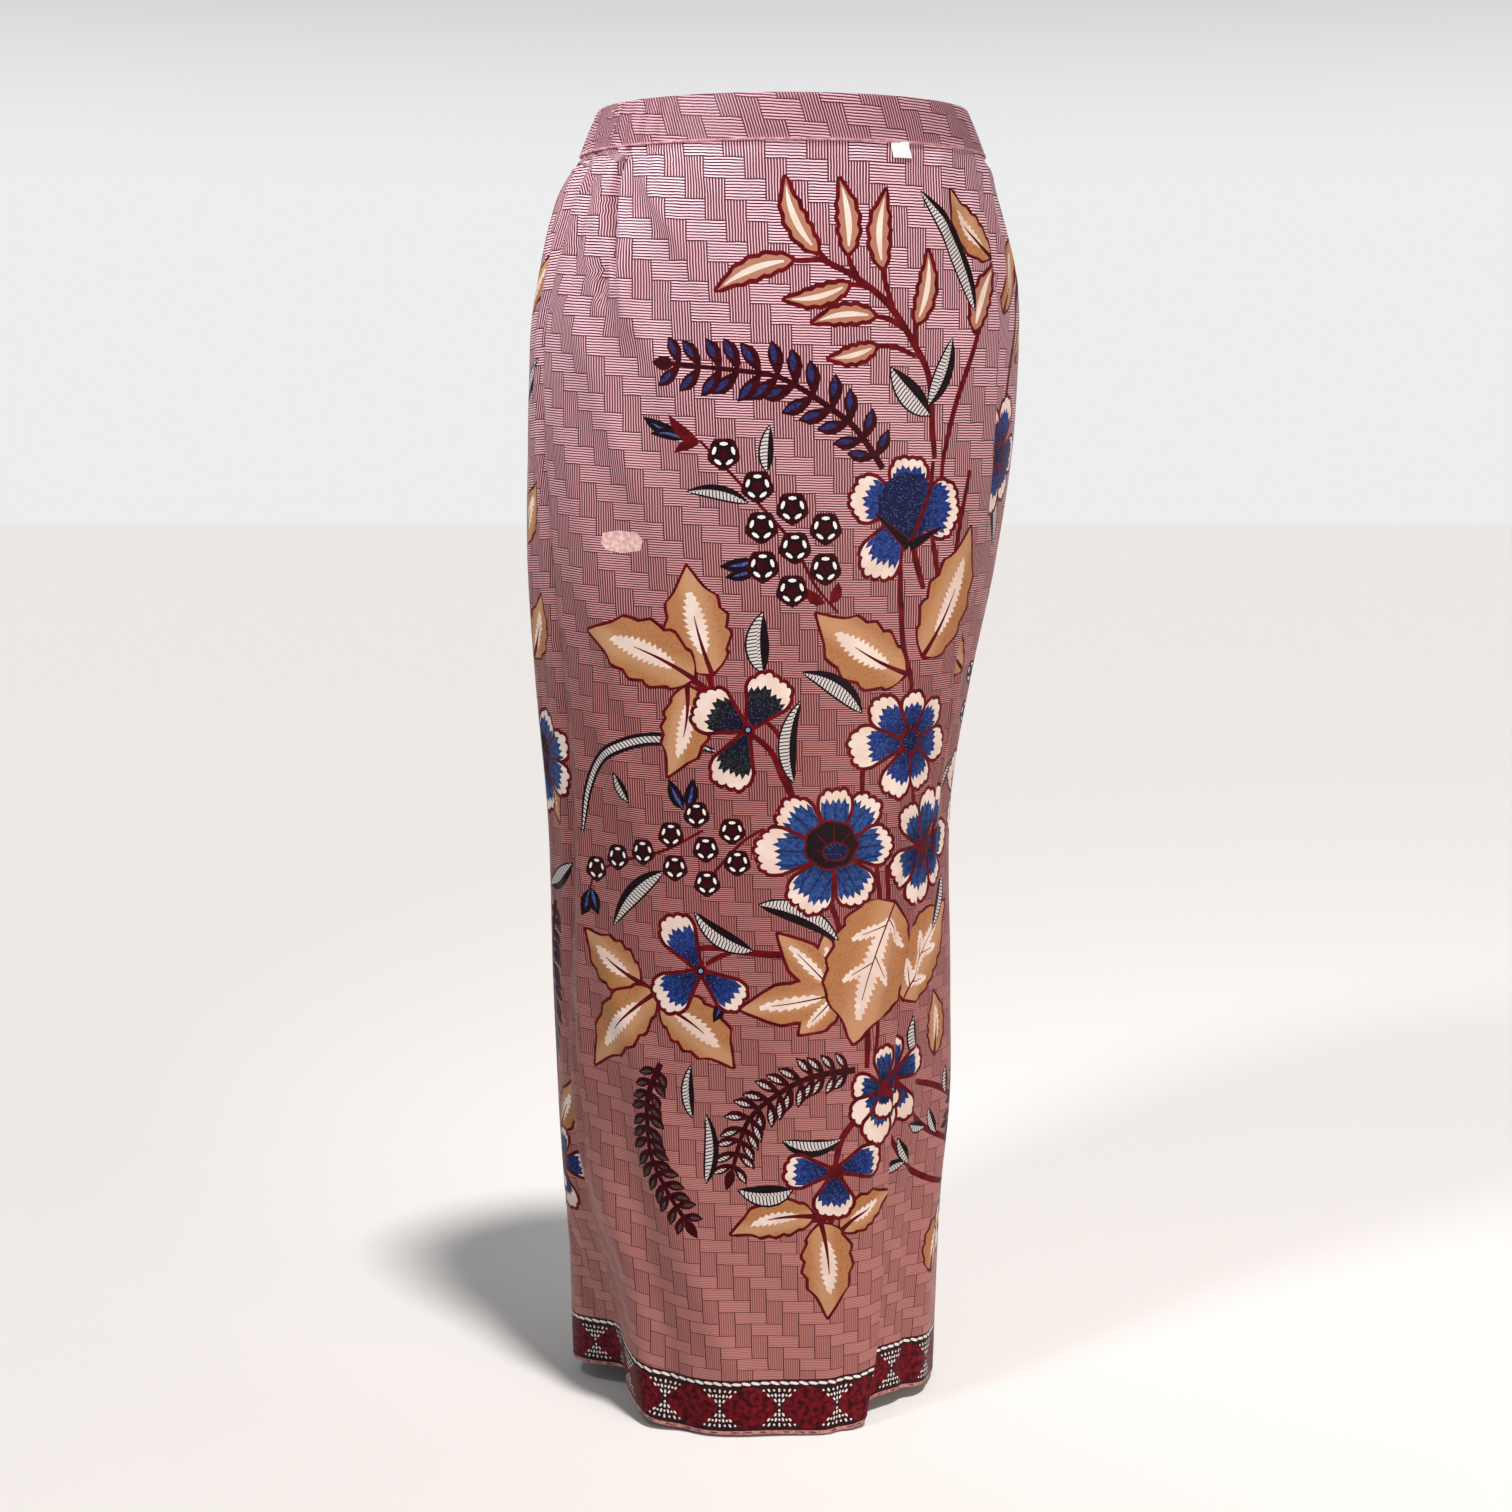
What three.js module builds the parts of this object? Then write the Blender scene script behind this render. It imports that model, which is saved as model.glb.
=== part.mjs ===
// A long straight batik skirt, filled out as when worn, with a flat front waistband and a ruched
// elastic back waistband. Millimetres, +Z up, the front faces -Y, and the origin is the middle of
// the waist opening at the top edge of the waistband.
import * as THREE from 'three';

// Driving dimensions.
const LENGTH = 1010;            // waistband's top edge to the lowest hem
const BAND_HEIGHT = 34;
const CLOTH = 1.2;              // wall of the panels
const BAND_CLOTH = 2.0;         // folded band, two layers and a stiffener
const BAND_PROUD = 1.0;         // how far the band stands out over the panels
const GAP = 0.3;                // between pieces at every seam
const PANEL_TOP = -BAND_HEIGHT - GAP;
const DEGREE = Math.PI / 180;

// Sections of the filled-out skirt: an ellipse at each height below the waist.
const SECTIONS = [
  { z: 0, halfWidth: 141.5, halfDepth: 113, centreX: 0, centreY: -2 },
  { z: -34, halfWidth: 156, halfDepth: 120, centreX: 0, centreY: 0 },
  { z: -67, halfWidth: 170.5, halfDepth: 125, centreX: -4, centreY: 3 },
  { z: -113, halfWidth: 184, halfDepth: 130, centreX: -4, centreY: 6 },
  { z: -182, halfWidth: 193.5, halfDepth: 134, centreX: -5, centreY: 9 },
  { z: -252, halfWidth: 193, halfDepth: 135, centreX: -8, centreY: 10 },
  { z: -346, halfWidth: 186, halfDepth: 133, centreX: -16, centreY: 8 },
  { z: -441, halfWidth: 173.5, halfDepth: 131, centreX: -23, centreY: 5 },
  { z: -538, halfWidth: 162, halfDepth: 131, centreX: -26, centreY: 2 },
  { z: -684, halfWidth: 160, halfDepth: 133, centreX: -24, centreY: 0 },
  { z: -782, halfWidth: 158.5, halfDepth: 135, centreX: -22, centreY: 0 },
  { z: -882, halfWidth: 153, halfDepth: 138, centreX: -22, centreY: 0 },
  { z: -1010, halfWidth: 150, halfDepth: 140, centreX: -23, centreY: 0 },
];

// Side seams: the angle from the front's middle line, in degrees, positive towards +X, and how
// deep the seam is drawn in below the section.
const LEFT_SEAM = [
  { z: -34, angle: -66, depth: 1.5 },
  { z: -100, angle: -68, depth: 4 },
  { z: -200, angle: -71, depth: 4 },
  { z: -300, angle: -65, depth: 4 },
  { z: -450, angle: -59, depth: 4 },
  { z: -600, angle: -61, depth: 4 },
  { z: -740, angle: -68, depth: 3 },
  { z: -860, angle: -67, depth: 12 },
  { z: -915, angle: -68, depth: 24 },
  { z: -1010, angle: -70, depth: 38 },
];
const RIGHT_SEAM = [
  { z: -34, angle: 118, depth: 1 },
  { z: -200, angle: 111, depth: 3 },
  { z: -600, angle: 112, depth: 3 },
  { z: -1010, angle: 110, depth: 6 },
];

// The long soft pleat on the right of the front: where its folded edge lies, how far the cloth
// turns back under it, and how far the cloth beyond it is set back.
const PLEAT = [
  { z: -34, angle: 67, tuck: -10, open: 0, setBack: 0 },
  { z: -100, angle: 62, tuck: -4, open: 1, setBack: 0 },
  { z: -150, angle: 61, tuck: 3, open: 1, setBack: 1 },
  { z: -237, angle: 61, tuck: 7, open: 1, setBack: 2 },
  { z: -344, angle: 65, tuck: 9, open: 1, setBack: 2 },
  { z: -400, angle: 62, tuck: 11, open: 1, setBack: 3 },
  { z: -550, angle: 61, tuck: 15, open: 1, setBack: 5 },
  { z: -605, angle: 53, tuck: 17, open: 1, setBack: 6 },
  { z: -680, angle: 44, tuck: 19, open: 1, setBack: 7 },
  { z: -760, angle: 41, tuck: 22, open: 1, setBack: 8 },
  { z: -945, angle: 39, tuck: 28, open: 1, setBack: 12 },
  { z: -1010, angle: 35, tuck: 30, open: 1, setBack: 14 },
];

// The pleat's bends as a path in the cloth's own section: along is measured on from the folded
// edge, less the tuck where tucked is 1, and rise is outwards.
const PLEAT_PATH = [
  { along: 0.0, tucked: 0, rise: 0.0 },
  { along: 1.4, tucked: 0, rise: -0.6 },
  { along: 2.0, tucked: 0, rise: -2.0 },
  { along: 1.4, tucked: 0, rise: -3.4 },
  { along: 0.0, tucked: 0, rise: -4.0 },
  { along: 0.0, tucked: 1, rise: -4.0 },
  { along: -0.7, tucked: 1, rise: -4.3 },
  { along: -0.9, tucked: 1, rise: -4.8 },
  { along: -0.7, tucked: 1, rise: -5.3 },
  { along: 0.0, tucked: 1, rise: -5.6 },
];

// Large soft folds of the front, from (z1, angle1) to (z2, angle2): ridges have a positive height.
// They fade out over the given fade length at both ends.
const FRONT_FOLDS = [
  { name: 'left tuck', z1: -40, angle1: -49, z2: -165, angle2: -41, width: 9, height: -3.5, fade: 30 },
  { name: 'left tuck puff', z1: -60, angle1: -40, z2: -190, angle2: -33, width: 16, height: 2.5, fade: 50 },
  { name: 'upper drag', z1: -45, angle1: -36, z2: -150, angle2: -16, width: 17, height: 2.2, fade: 50 },
  { name: 'middle drag', z1: -90, angle1: -48, z2: -230, angle2: -20, width: 17, height: 2.2, fade: 60 },
  { name: 'lower drag', z1: -150, angle1: -55, z2: -330, angle2: -24, width: 19, height: 1.8, fade: 80 },
  { name: 'hip trough', z1: -60, angle1: -58, z2: -135, angle2: -57, width: 12, height: -2.5, fade: 30 },
  { name: 'left ridge', z1: -500, angle1: -52, z2: -760, angle2: -57, width: 11, height: 3, fade: 90 },
  { name: 'left lower ridge', z1: -800, angle1: -50, z2: -1010, angle2: -36, width: 30, height: 4, fade: 90 },
  { name: 'pleat ridge', z1: -300, angle1: 52, z2: -1010, angle2: 25, width: 26, height: 3.5, fade: 200 },
  { name: 'middle trough', z1: -620, angle1: -8, z2: -1010, angle2: 6, width: 34, height: -2.5, fade: 150 },
  { name: 'right gather', z1: -36, angle1: 76, z2: -130, angle2: 72, width: 9, height: 3, fade: 50 },
  { name: 'right gather end', z1: -36, angle1: 90, z2: -150, angle2: 88, width: 9, height: 3, fade: 50 },
  { name: 'right side fold', z1: -300, angle1: 92, z2: -800, angle2: 84, width: 22, height: 3, fade: 160 },
  { name: 'right hem fold', z1: -760, angle1: 78, z2: -1010, angle2: 70, width: 18, height: 4, fade: 110 },
];

// Large soft folds of the back.
const BACK_FOLDS = [
  { name: 'left strip crease', z1: -860, angle1: 272, z2: -960, angle2: 282, width: 8, height: -3, fade: 40 },
  { name: 'seat drag left', z1: -150, angle1: 150, z2: -380, angle2: 176, width: 20, height: 2.5, fade: 90 },
  { name: 'seat drag right', z1: -130, angle1: 232, z2: -340, angle2: 208, width: 20, height: 2.5, fade: 90 },
  { name: 'under seat', z1: -420, angle1: 150, z2: -760, angle2: 158, width: 26, height: -3.5, fade: 150 },
  { name: 'back middle fold', z1: -480, angle1: 192, z2: -1010, angle2: 186, width: 28, height: 5, fade: 180 },
  { name: 'back left fold', z1: -560, angle1: 226, z2: -1010, angle2: 232, width: 24, height: -5, fade: 180 },
  { name: 'back hem fold', z1: -700, angle1: 140, z2: -1010, angle2: 133, width: 24, height: 6, fade: 160 },
];

// How far the hem rises above the lowest point, by angle.
const HEM = [
  { angle: -110, rise: 10 },
  { angle: -70, rise: 16 },
  { angle: -45, rise: 2 },
  { angle: 0, rise: 0 },
  { angle: 34, rise: 1 },
  { angle: 48, rise: 10 },
  { angle: 90, rise: 3 },
  { angle: 180, rise: 6 },
  { angle: 250, rise: 10 },
  { angle: 290, rise: 16 },
];

// Gathers under the back band, and ruching of the back band, as whole waves from seam to seam.
const GATHERS = 20;
const GATHER_HEIGHT = 3.2;
const GATHER_FADE = 95;         // length over which an ordinary gather dies away
const LONG_GATHER_FADE = 210;   // every third one runs further down
const RUCHES = 36;
const RUCHE_HEIGHT = 1.3;
const STEPS_PER_WAVE = 4;
const UNEVEN_GATHERS = 0.0035;  // how far a gather strays from its even place, as a share
const UNEVEN_RUCHES = 0.002;
const GATHERED_AT_BAND = 0.35;  // share of a gather's height that it has at the band's edge
const GATHER_START = 14;        // length over which it comes to its full height

// How the band and the seams hold the cloth.
const AT_BAND = -40;            // a fold that starts above this runs up to the band
const HELD_FLAT = 26;           // length below the band over which the folds set in
const SEAM_WIDTH = 7;           // half width of the dip along a shallow seam
const SHALLOW_SEAM = 4;
const DEEP_SEAM = 24;           // at this depth the dip has its whole hollow's width
const HOLLOWS = { frontLeft: 46, backLeft: 32, right: 20 };

// Columns of the front: they lie closer together beside the left seam.
const LEFT_COLUMNS = 27;
const RIGHT_COLUMNS = 12;
const EVEN_SHARE = 0.55;
const CROWDING = 1.5;
const TUCK_START = 4;           // tuck over which the pleat comes to its folded shape
const BEHIND_PLEAT = 10;        // cloth beyond the tuck over which its set back sets in
const FLAT_BAND_COLUMNS = 40;
const HEM_BEND = 6;             // power by which the hem's rise fades out upwards
const SHARPEST_MITRE = 0.6;

// The waistband's two seams, in degrees.
const BAND_LEFT = -57;
const BAND_RIGHT = 123;
const FULL_TURN = 360;

// The label tab, caught under the front band.
const LABEL = { angle: 33, width: 14.6, height: 11.5, thickness: 1.0, clear: 0.4, columns: 4 };

// Levels of both panels, as shares of the height from the band to the hem. They are the same
// ones, so that the seams keep their gap.
const PANEL_LEVELS = [
  0, 0.01, 0.028, 0.055, 0.09, 0.14, 0.2, 0.27, 0.34, 0.41, 0.49, 0.57, 0.66, 0.74, 0.82, 0.88, 0.94, 1,
];
const BAND_LEVELS = [0, 0.16, 0.84, 1];
const FLAT_BAND_LEVELS = [0, 0.5, 1];

const mix = (a, b, t) => a + (b - a) * t;
const clamp01 = (t) => Math.min(1, Math.max(0, t));
const smooth = (t) => clamp01(t) ** 2 * (3 - 2 * clamp01(t));

// A smooth curve through one column of a table whose rows run along the column named by.
function follow(table, by, at, column) {
  const sign = table[1][by] > table[0][by] ? 1 : -1;
  const x = (i) => sign * table[i][by];
  const slope = (i) => (table[i + 1][column] - table[i][column]) / (x(i + 1) - x(i));
  const last = table.length - 1;
  const where = Math.min(x(last), Math.max(x(0), sign * at));
  let i = 0;
  while (i < last - 1 && where > x(i + 1)) i += 1;
  const tangent = (k) => {
    if (k === 0) return slope(0);
    if (k === last) return slope(last - 1);
    return slope(k - 1) * slope(k) <= 0 ? 0 : (slope(k - 1) + slope(k)) / 2;
  };
  const step = x(i + 1) - x(i);
  const t = (where - x(i)) / step;
  const start = table[i][column] * (1 + 2 * t) * (1 - t) ** 2;
  const end = table[i + 1][column] * (3 - 2 * t) * t ** 2;
  const bend = step * t * (1 - t) * (tangent(i) * (1 - t) - tangent(i + 1) * t);
  return start + end + bend;
}

// The ellipse at a height.
function sectionAt(z) {
  const row = {};
  for (const column of ['halfWidth', 'halfDepth', 'centreX', 'centreY']) {
    row[column] = follow(SECTIONS, 'z', z, column);
  }
  return row;
}

// Millimetres of cloth to one degree round the section.
function mmPerDegree(angle, z) {
  const { halfWidth, halfDepth } = sectionAt(z);
  return DEGREE * Math.hypot(halfWidth * Math.cos(angle * DEGREE), halfDepth * Math.sin(angle * DEGREE));
}

// The point of the section at an angle, and its outward direction, both in plan.
function onSection(angle, z) {
  const { halfWidth, halfDepth, centreX, centreY } = sectionAt(z);
  const sin = Math.sin(angle * DEGREE);
  const cos = Math.cos(angle * DEGREE);
  const point = new THREE.Vector2(centreX + halfWidth * sin, centreY - halfDepth * cos);
  const outward = new THREE.Vector2(halfDepth * sin, -halfWidth * cos).normalize();
  return { point, outward };
}

// Height of one soft fold at a place.
function foldHeight(fold, angle, z) {
  const share = clamp01((z - fold.z1) / (fold.z2 - fold.z1));
  const middle = mix(fold.angle1, fold.angle2, share);
  const across = ((angle - middle) * mmPerDegree(angle, z)) / fold.width;
  const above = fold.z1 < AT_BAND ? smooth((fold.z1 + fold.fade / 2 - z) / fold.fade) : 1;
  const below = fold.z2 > -LENGTH ? smooth((z - fold.z2 + fold.fade / 2) / fold.fade) : 1;
  return fold.height * Math.exp(-across * across) * above * below;
}

// The folds near the band start at nothing, because the band holds the cloth flat.
const belowBand = (z) => smooth((PANEL_TOP - z) / HELD_FLAT);

const foldsAt = (folds, angle, z) =>
  belowBand(z) * folds.reduce((sum, fold) => sum + foldHeight(fold, angle, z), 0);

// How deep the cloth is drawn in beside a seam, for a place away millimetres from it. The left
// seam's hollow widens towards the hem.
function seamDepth(seam, z, away, wide) {
  const depth = follow(seam, 'z', z, 'depth');
  const deep = smooth((depth - SHALLOW_SEAM) / (DEEP_SEAM - SHALLOW_SEAM));
  return depth * Math.exp(-((away / mix(SEAM_WIDTH, wide, deep)) ** 2));
}

const hemRise = (angle) => follow(HEM, 'angle', angle, 'rise');
const straight = () => 0;

// A station is one vertical line of a panel. Its place gives the angle at a height and how far
// the cloth's outer face stands out from the section there.
function surfacePoint(place, z) {
  const { point, outward } = onSection(place.angle, z);
  return point.addScaledVector(outward, place.rise);
}

function frontStations() {
  const leftHollow = (angle, z) => {
    const seam = follow(LEFT_SEAM, 'z', z, 'angle');
    return seamDepth(LEFT_SEAM, z, (angle - seam) * mmPerDegree(angle, z), HOLLOWS.frontLeft);
  };
  const rightHollow = (angle, z) => {
    const seam = follow(RIGHT_SEAM, 'z', z, 'angle');
    return seamDepth(RIGHT_SEAM, z, (angle - seam) * mmPerDegree(angle, z), HOLLOWS.right);
  };
  const relief = (angle, z) => foldsAt(FRONT_FOLDS, angle, z) - leftHollow(angle, z) - rightHollow(angle, z);
  const halfGap = (angle, z) => GAP / 2 / mmPerDegree(angle, z);
  const stations = [];

  for (let k = 0; k < LEFT_COLUMNS; k += 1) {
    const even = k / LEFT_COLUMNS;
    const share = mix(even ** CROWDING, even, EVEN_SHARE);
    stations.push((z) => {
      const seam = follow(LEFT_SEAM, 'z', z, 'angle');
      const from = seam + halfGap(seam, z);
      const angle = mix(from, follow(PLEAT, 'z', z, 'angle'), share);
      return { angle, rise: relief(angle, z) };
    });
  }

  PLEAT_PATH.forEach((bend, k) => {
    stations.push((z) => {
      const edge = follow(PLEAT, 'z', z, 'angle');
      const tuck = follow(PLEAT, 'z', z, 'tuck');
      const folded = smooth((tuck + 1) / TUCK_START);
      const plain = (Math.abs(Math.min(tuck, 1)) * k) / (PLEAT_PATH.length - 1);
      const bent = bend.along - bend.tucked * Math.max(tuck, 0);
      const along = mix(plain, bent, folded);
      const rise = bend.rise * follow(PLEAT, 'z', z, 'open');
      return { angle: edge + along / mmPerDegree(edge, z), rise: relief(edge, z) + rise };
    });
  });

  const lowest = PLEAT_PATH[PLEAT_PATH.length - 1].rise;
  for (let k = 1; k <= RIGHT_COLUMNS; k += 1) {
    const share = k / RIGHT_COLUMNS;
    stations.push((z) => {
      const edge = follow(PLEAT, 'z', z, 'angle');
      const tuck = follow(PLEAT, 'z', z, 'tuck');
      const seam = follow(RIGHT_SEAM, 'z', z, 'angle');
      const from = edge - tuck / mmPerDegree(edge, z);
      const angle = mix(from, seam - halfGap(seam, z), share);
      const behind = ((angle - from) * mmPerDegree(edge, z)) / (Math.abs(tuck) + BEHIND_PLEAT);
      const recover = 1 - smooth((angle - edge) / (seam - edge));
      const set = follow(PLEAT, 'z', z, 'setBack') * smooth(behind) + lowest * -follow(PLEAT, 'z', z, 'open');
      const own = mix(relief(edge, z), relief(angle, z), smooth(behind));
      return { angle, rise: own - set * recover };
    });
  }
  return stations;
}

function backStations() {
  const stations = [];
  const columns = GATHERS * STEPS_PER_WAVE;
  for (let k = 0; k <= columns; k += 1) {
    const stray = UNEVEN_GATHERS * Math.sin(k * 0.9) * Math.sin((Math.PI * k) / columns);
    const share = k / columns + stray;
    const gather = Math.round(k / STEPS_PER_WAVE);
    const crest = -Math.cos((2 * Math.PI * k) / STEPS_PER_WAVE);
    const height = GATHER_HEIGHT * (0.75 + 0.25 * Math.sin(gather * 2.7));
    const fade = gather % 3 === 1 ? LONG_GATHER_FADE : GATHER_FADE;
    const inside = k > 0 && k < columns ? 1 : 0;
    stations.push((z) => {
      const right = follow(RIGHT_SEAM, 'z', z, 'angle');
      const left = follow(LEFT_SEAM, 'z', z, 'angle') + FULL_TURN;
      const from = right + GAP / 2 / mmPerDegree(right, z);
      const to = left - GAP / 2 / mmPerDegree(left, z);
      const angle = mix(from, to, share);
      const rightAway = (angle - right) * mmPerDegree(angle, z);
      const leftAway = (left - angle) * mmPerDegree(angle, z);
      const rightHollow = seamDepth(RIGHT_SEAM, z, rightAway, HOLLOWS.right);
      const hollow = rightHollow + seamDepth(LEFT_SEAM, z, leftAway, HOLLOWS.backLeft);
      const held = mix(GATHERED_AT_BAND, 1, smooth((PANEL_TOP - z) / GATHER_START));
      const gathered = inside * held * height * crest * Math.exp(-((PANEL_TOP - z) / fade));
      return { angle, rise: foldsAt(BACK_FOLDS, angle, z) + gathered - hollow };
    });
  }
  return stations;
}

// Directions in which the wall's inner face lies behind its outer one, mitred at each bend. The
// two ends follow the section's own outward direction, so that seams stay parallel.
function mitres(points, places, z) {
  const sides = [];
  for (let k = 0; k + 1 < points.length; k += 1) {
    const run = points[k + 1].clone().sub(points[k]).normalize();
    sides.push(new THREE.Vector2(run.y, -run.x));
  }
  return points.map((point, k) => {
    const before = sides[Math.max(0, k - 1)];
    const after = sides[Math.min(sides.length - 1, k)];
    const end = k === 0 || k === points.length - 1;
    const middle = end ? onSection(places[k].angle, z).outward : before.clone().add(after).normalize();
    const cosine = Math.max(SHARPEST_MITRE, middle.dot(after));
    return middle.clone().divideScalar(cosine);
  });
}

// A closed wall from its stations between two heights: an outer face, an inner face and the four
// edges between. Its levels are shares of the way down, and its lower edge may rise by angle.
function wallGeometry(stations, levels, { top, bottom, thickness, riseAt }) {
  const columns = stations.length;
  const outer = [];
  const inner = [];
  for (const level of levels) {
    const z = mix(top, bottom, level);
    const places = stations.map((station) => station(z));
    const points = places.map((place) => surfacePoint(place, z));
    const behind = mitres(points, places, z);
    points.forEach((point, k) => {
      const height = z + riseAt(places[k].angle) * level ** HEM_BEND;
      const back = point.clone().addScaledVector(behind[k], -thickness);
      outer.push(new THREE.Vector3(point.x, point.y, height));
      inner.push(new THREE.Vector3(back.x, back.y, height));
    });
  }
  const points = outer.concat(inner);
  const far = outer.length;
  const faces = [];
  const quad = (a, b, c, d) => faces.push(a, b, c, a, c, d);
  for (let i = 0; i + 1 < levels.length; i += 1) {
    for (let k = 0; k + 1 < columns; k += 1) {
      const a = i * columns + k;
      const b = a + columns;
      quad(a, b, b + 1, a + 1);
      quad(far + a, far + a + 1, far + b + 1, far + b);
    }
    const left = i * columns;
    const right = left + columns - 1;
    quad(left, far + left, far + left + columns, left + columns);
    quad(right, right + columns, far + right + columns, far + right);
  }
  for (let k = 0; k + 1 < columns; k += 1) {
    const low = (levels.length - 1) * columns + k;
    quad(k, k + 1, far + k + 1, far + k);
    quad(low, far + low, far + low + 1, low + 1);
  }
  const geometry = new THREE.BufferGeometry();
  geometry.setAttribute('position', new THREE.Float32BufferAttribute(points.flatMap((p) => p.toArray()), 3));
  geometry.setIndex(faces);
  geometry.computeVertexNormals();
  return geometry;
}

function flatBandStations() {
  return Array.from({ length: FLAT_BAND_COLUMNS + 1 }, (_, k) => (z) => {
    const from = BAND_LEFT + GAP / 2 / mmPerDegree(BAND_LEFT, z);
    const to = BAND_RIGHT - GAP / 2 / mmPerDegree(BAND_RIGHT, z);
    return { angle: mix(from, to, k / FLAT_BAND_COLUMNS), rise: BAND_PROUD };
  });
}

function ruchedBandStations() {
  const columns = RUCHES * STEPS_PER_WAVE;
  return Array.from({ length: columns + 1 }, (_, k) => (z) => {
    const left = BAND_LEFT + FULL_TURN;
    const from = BAND_RIGHT + GAP / 2 / mmPerDegree(BAND_RIGHT, z);
    const to = left - GAP / 2 / mmPerDegree(left, z);
    const uneven = UNEVEN_RUCHES * Math.sin(k * 0.7) * Math.sin((Math.PI * k) / columns);
    const inside = k > 0 && k < columns ? 1 : 0;
    const crest = -Math.cos((2 * Math.PI * k) / STEPS_PER_WAVE);
    const height = RUCHE_HEIGHT * (0.8 + 0.2 * Math.sin(k * 0.37));
    return { angle: mix(from, to, k / columns + uneven), rise: BAND_PROUD + inside * height * crest };
  });
}

// The tab hangs just below the band, a little clear of the front panel.
function labelGeometry() {
  const halfAngle = (z) => LABEL.width / 2 / mmPerDegree(LABEL.angle, z);
  const stations = Array.from({ length: LABEL.columns + 1 }, (_, k) => (z) => ({
    angle: LABEL.angle + mix(-1, 1, k / LABEL.columns) * halfAngle(z),
    rise: LABEL.clear + LABEL.thickness + foldsAt(FRONT_FOLDS, LABEL.angle, z),
  }));
  const bottom = PANEL_TOP - LABEL.height;
  const edges = { top: PANEL_TOP, bottom, thickness: LABEL.thickness, riseAt: straight };
  return wallGeometry(stations, FLAT_BAND_LEVELS, edges);
}

function piece(name, geometry, colour, roughness) {
  const material = new THREE.MeshStandardMaterial({ color: colour, roughness, metalness: 0 });
  const mesh = new THREE.Mesh(geometry, material);
  mesh.name = name;
  return mesh;
}

const panelEdges = { top: PANEL_TOP, bottom: -LENGTH, thickness: CLOTH, riseAt: hemRise };
const bandEdges = { top: 0, bottom: -BAND_HEIGHT, thickness: BAND_CLOTH, riseAt: straight };

const skirt = new THREE.Group();
skirt.add(
  piece('front_panel', wallGeometry(frontStations(), PANEL_LEVELS, panelEdges), 0xc08a8f, 0.62),
  piece('back_panel', wallGeometry(backStations(), PANEL_LEVELS, panelEdges), 0xb8858a, 0.62),
  piece('front_waistband', wallGeometry(flatBandStations(), FLAT_BAND_LEVELS, bandEdges), 0xb97f85, 0.65),
  piece('back_waistband', wallGeometry(ruchedBandStations(), BAND_LEVELS, bandEdges), 0xb47a80, 0.68),
  piece('label_tab', labelGeometry(), 0xf4f4f2, 0.7),
);

export default skirt;
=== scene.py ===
"""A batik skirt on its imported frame: draped panels cut along their printed motifs, a flat and a
ruched waistband, and a label tab. The cloth is drawn flat, in millimetres, and then laid on the
form that the frame's solids have."""

import math

import bpy
import numpy as np
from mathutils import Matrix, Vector
from mathutils.geometry import delaunay_2d_cdt


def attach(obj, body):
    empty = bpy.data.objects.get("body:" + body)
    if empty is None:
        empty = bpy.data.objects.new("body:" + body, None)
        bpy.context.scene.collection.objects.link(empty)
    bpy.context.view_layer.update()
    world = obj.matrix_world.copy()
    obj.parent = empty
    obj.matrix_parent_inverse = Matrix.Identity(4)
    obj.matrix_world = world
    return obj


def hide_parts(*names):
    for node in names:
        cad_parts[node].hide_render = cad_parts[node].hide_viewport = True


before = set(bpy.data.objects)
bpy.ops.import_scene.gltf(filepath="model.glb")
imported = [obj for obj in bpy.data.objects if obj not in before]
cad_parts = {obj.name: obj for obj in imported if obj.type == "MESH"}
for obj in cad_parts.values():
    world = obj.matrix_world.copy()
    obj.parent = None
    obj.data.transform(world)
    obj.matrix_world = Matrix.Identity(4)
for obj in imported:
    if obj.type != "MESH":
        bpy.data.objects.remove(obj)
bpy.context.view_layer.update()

MM = 0.001
DEGREE = math.pi / 180
FULL_TURN = 360


# ---------------------------------------------------------------- small tables and helpers


def as_value(word):
    """A table's word as a number, as a tuple where commas part it, or as it stands."""
    try:
        numbers = tuple(float(part) for part in word.split(","))
    except ValueError:
        return word
    return numbers if len(numbers) > 1 else numbers[0]


def table(text):
    """Rows of a small table. Its first line names the columns, and the last column takes all the
    words that are left, as a list."""
    names, *rows = (line.split() for line in text.strip().splitlines())
    made = []
    for words in rows:
        row = dict(zip(names, map(as_value, words)))
        if len(words) > len(names):
            row[names[-1]] = [as_value(word) for word in words[len(names) - 1 :]]
        made.append(row)
    return made


def smooth(t):
    t = np.clip(t, 0, 1)
    return t * t * (3 - 2 * t)


def mix(a, b, t):
    return a + (b - a) * t


def follow(rows, by, at, column):
    """A smooth curve through one column of a table, without overshoot."""
    x = np.array([row[by] for row in rows])
    y = np.array([row[column] for row in rows])
    if x[1] < x[0]:
        x, y = x[::-1], y[::-1]
    slope = np.diff(y) / np.diff(x)
    inner = np.where(slope[:-1] * slope[1:] <= 0, 0, (slope[:-1] + slope[1:]) / 2)
    tangent = np.concatenate(([slope[0]], inner, [slope[-1]]))
    at = np.clip(at, x[0], x[-1])
    i = np.clip(np.searchsorted(x, at, "right") - 1, 0, len(x) - 2)
    step = x[i + 1] - x[i]
    t = (at - x[i]) / step
    ends = y[i] * (1 + 2 * t) * (1 - t) ** 2 + y[i + 1] * (3 - 2 * t) * t**2
    return ends + step * t * (1 - t) * (tangent[i] * (1 - t) - tangent[i + 1] * t)


# ---------------------------------------------------------------- the skirt's sizes, in mm

LENGTH = 1010
BAND_HEIGHT = 34
GAP = 0.3
PANEL_TOP = -BAND_HEIGHT - GAP
PANEL_LENGTH = LENGTH + PANEL_TOP
CLOTH = 0.5  # how far the reverse lies behind the face

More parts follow.
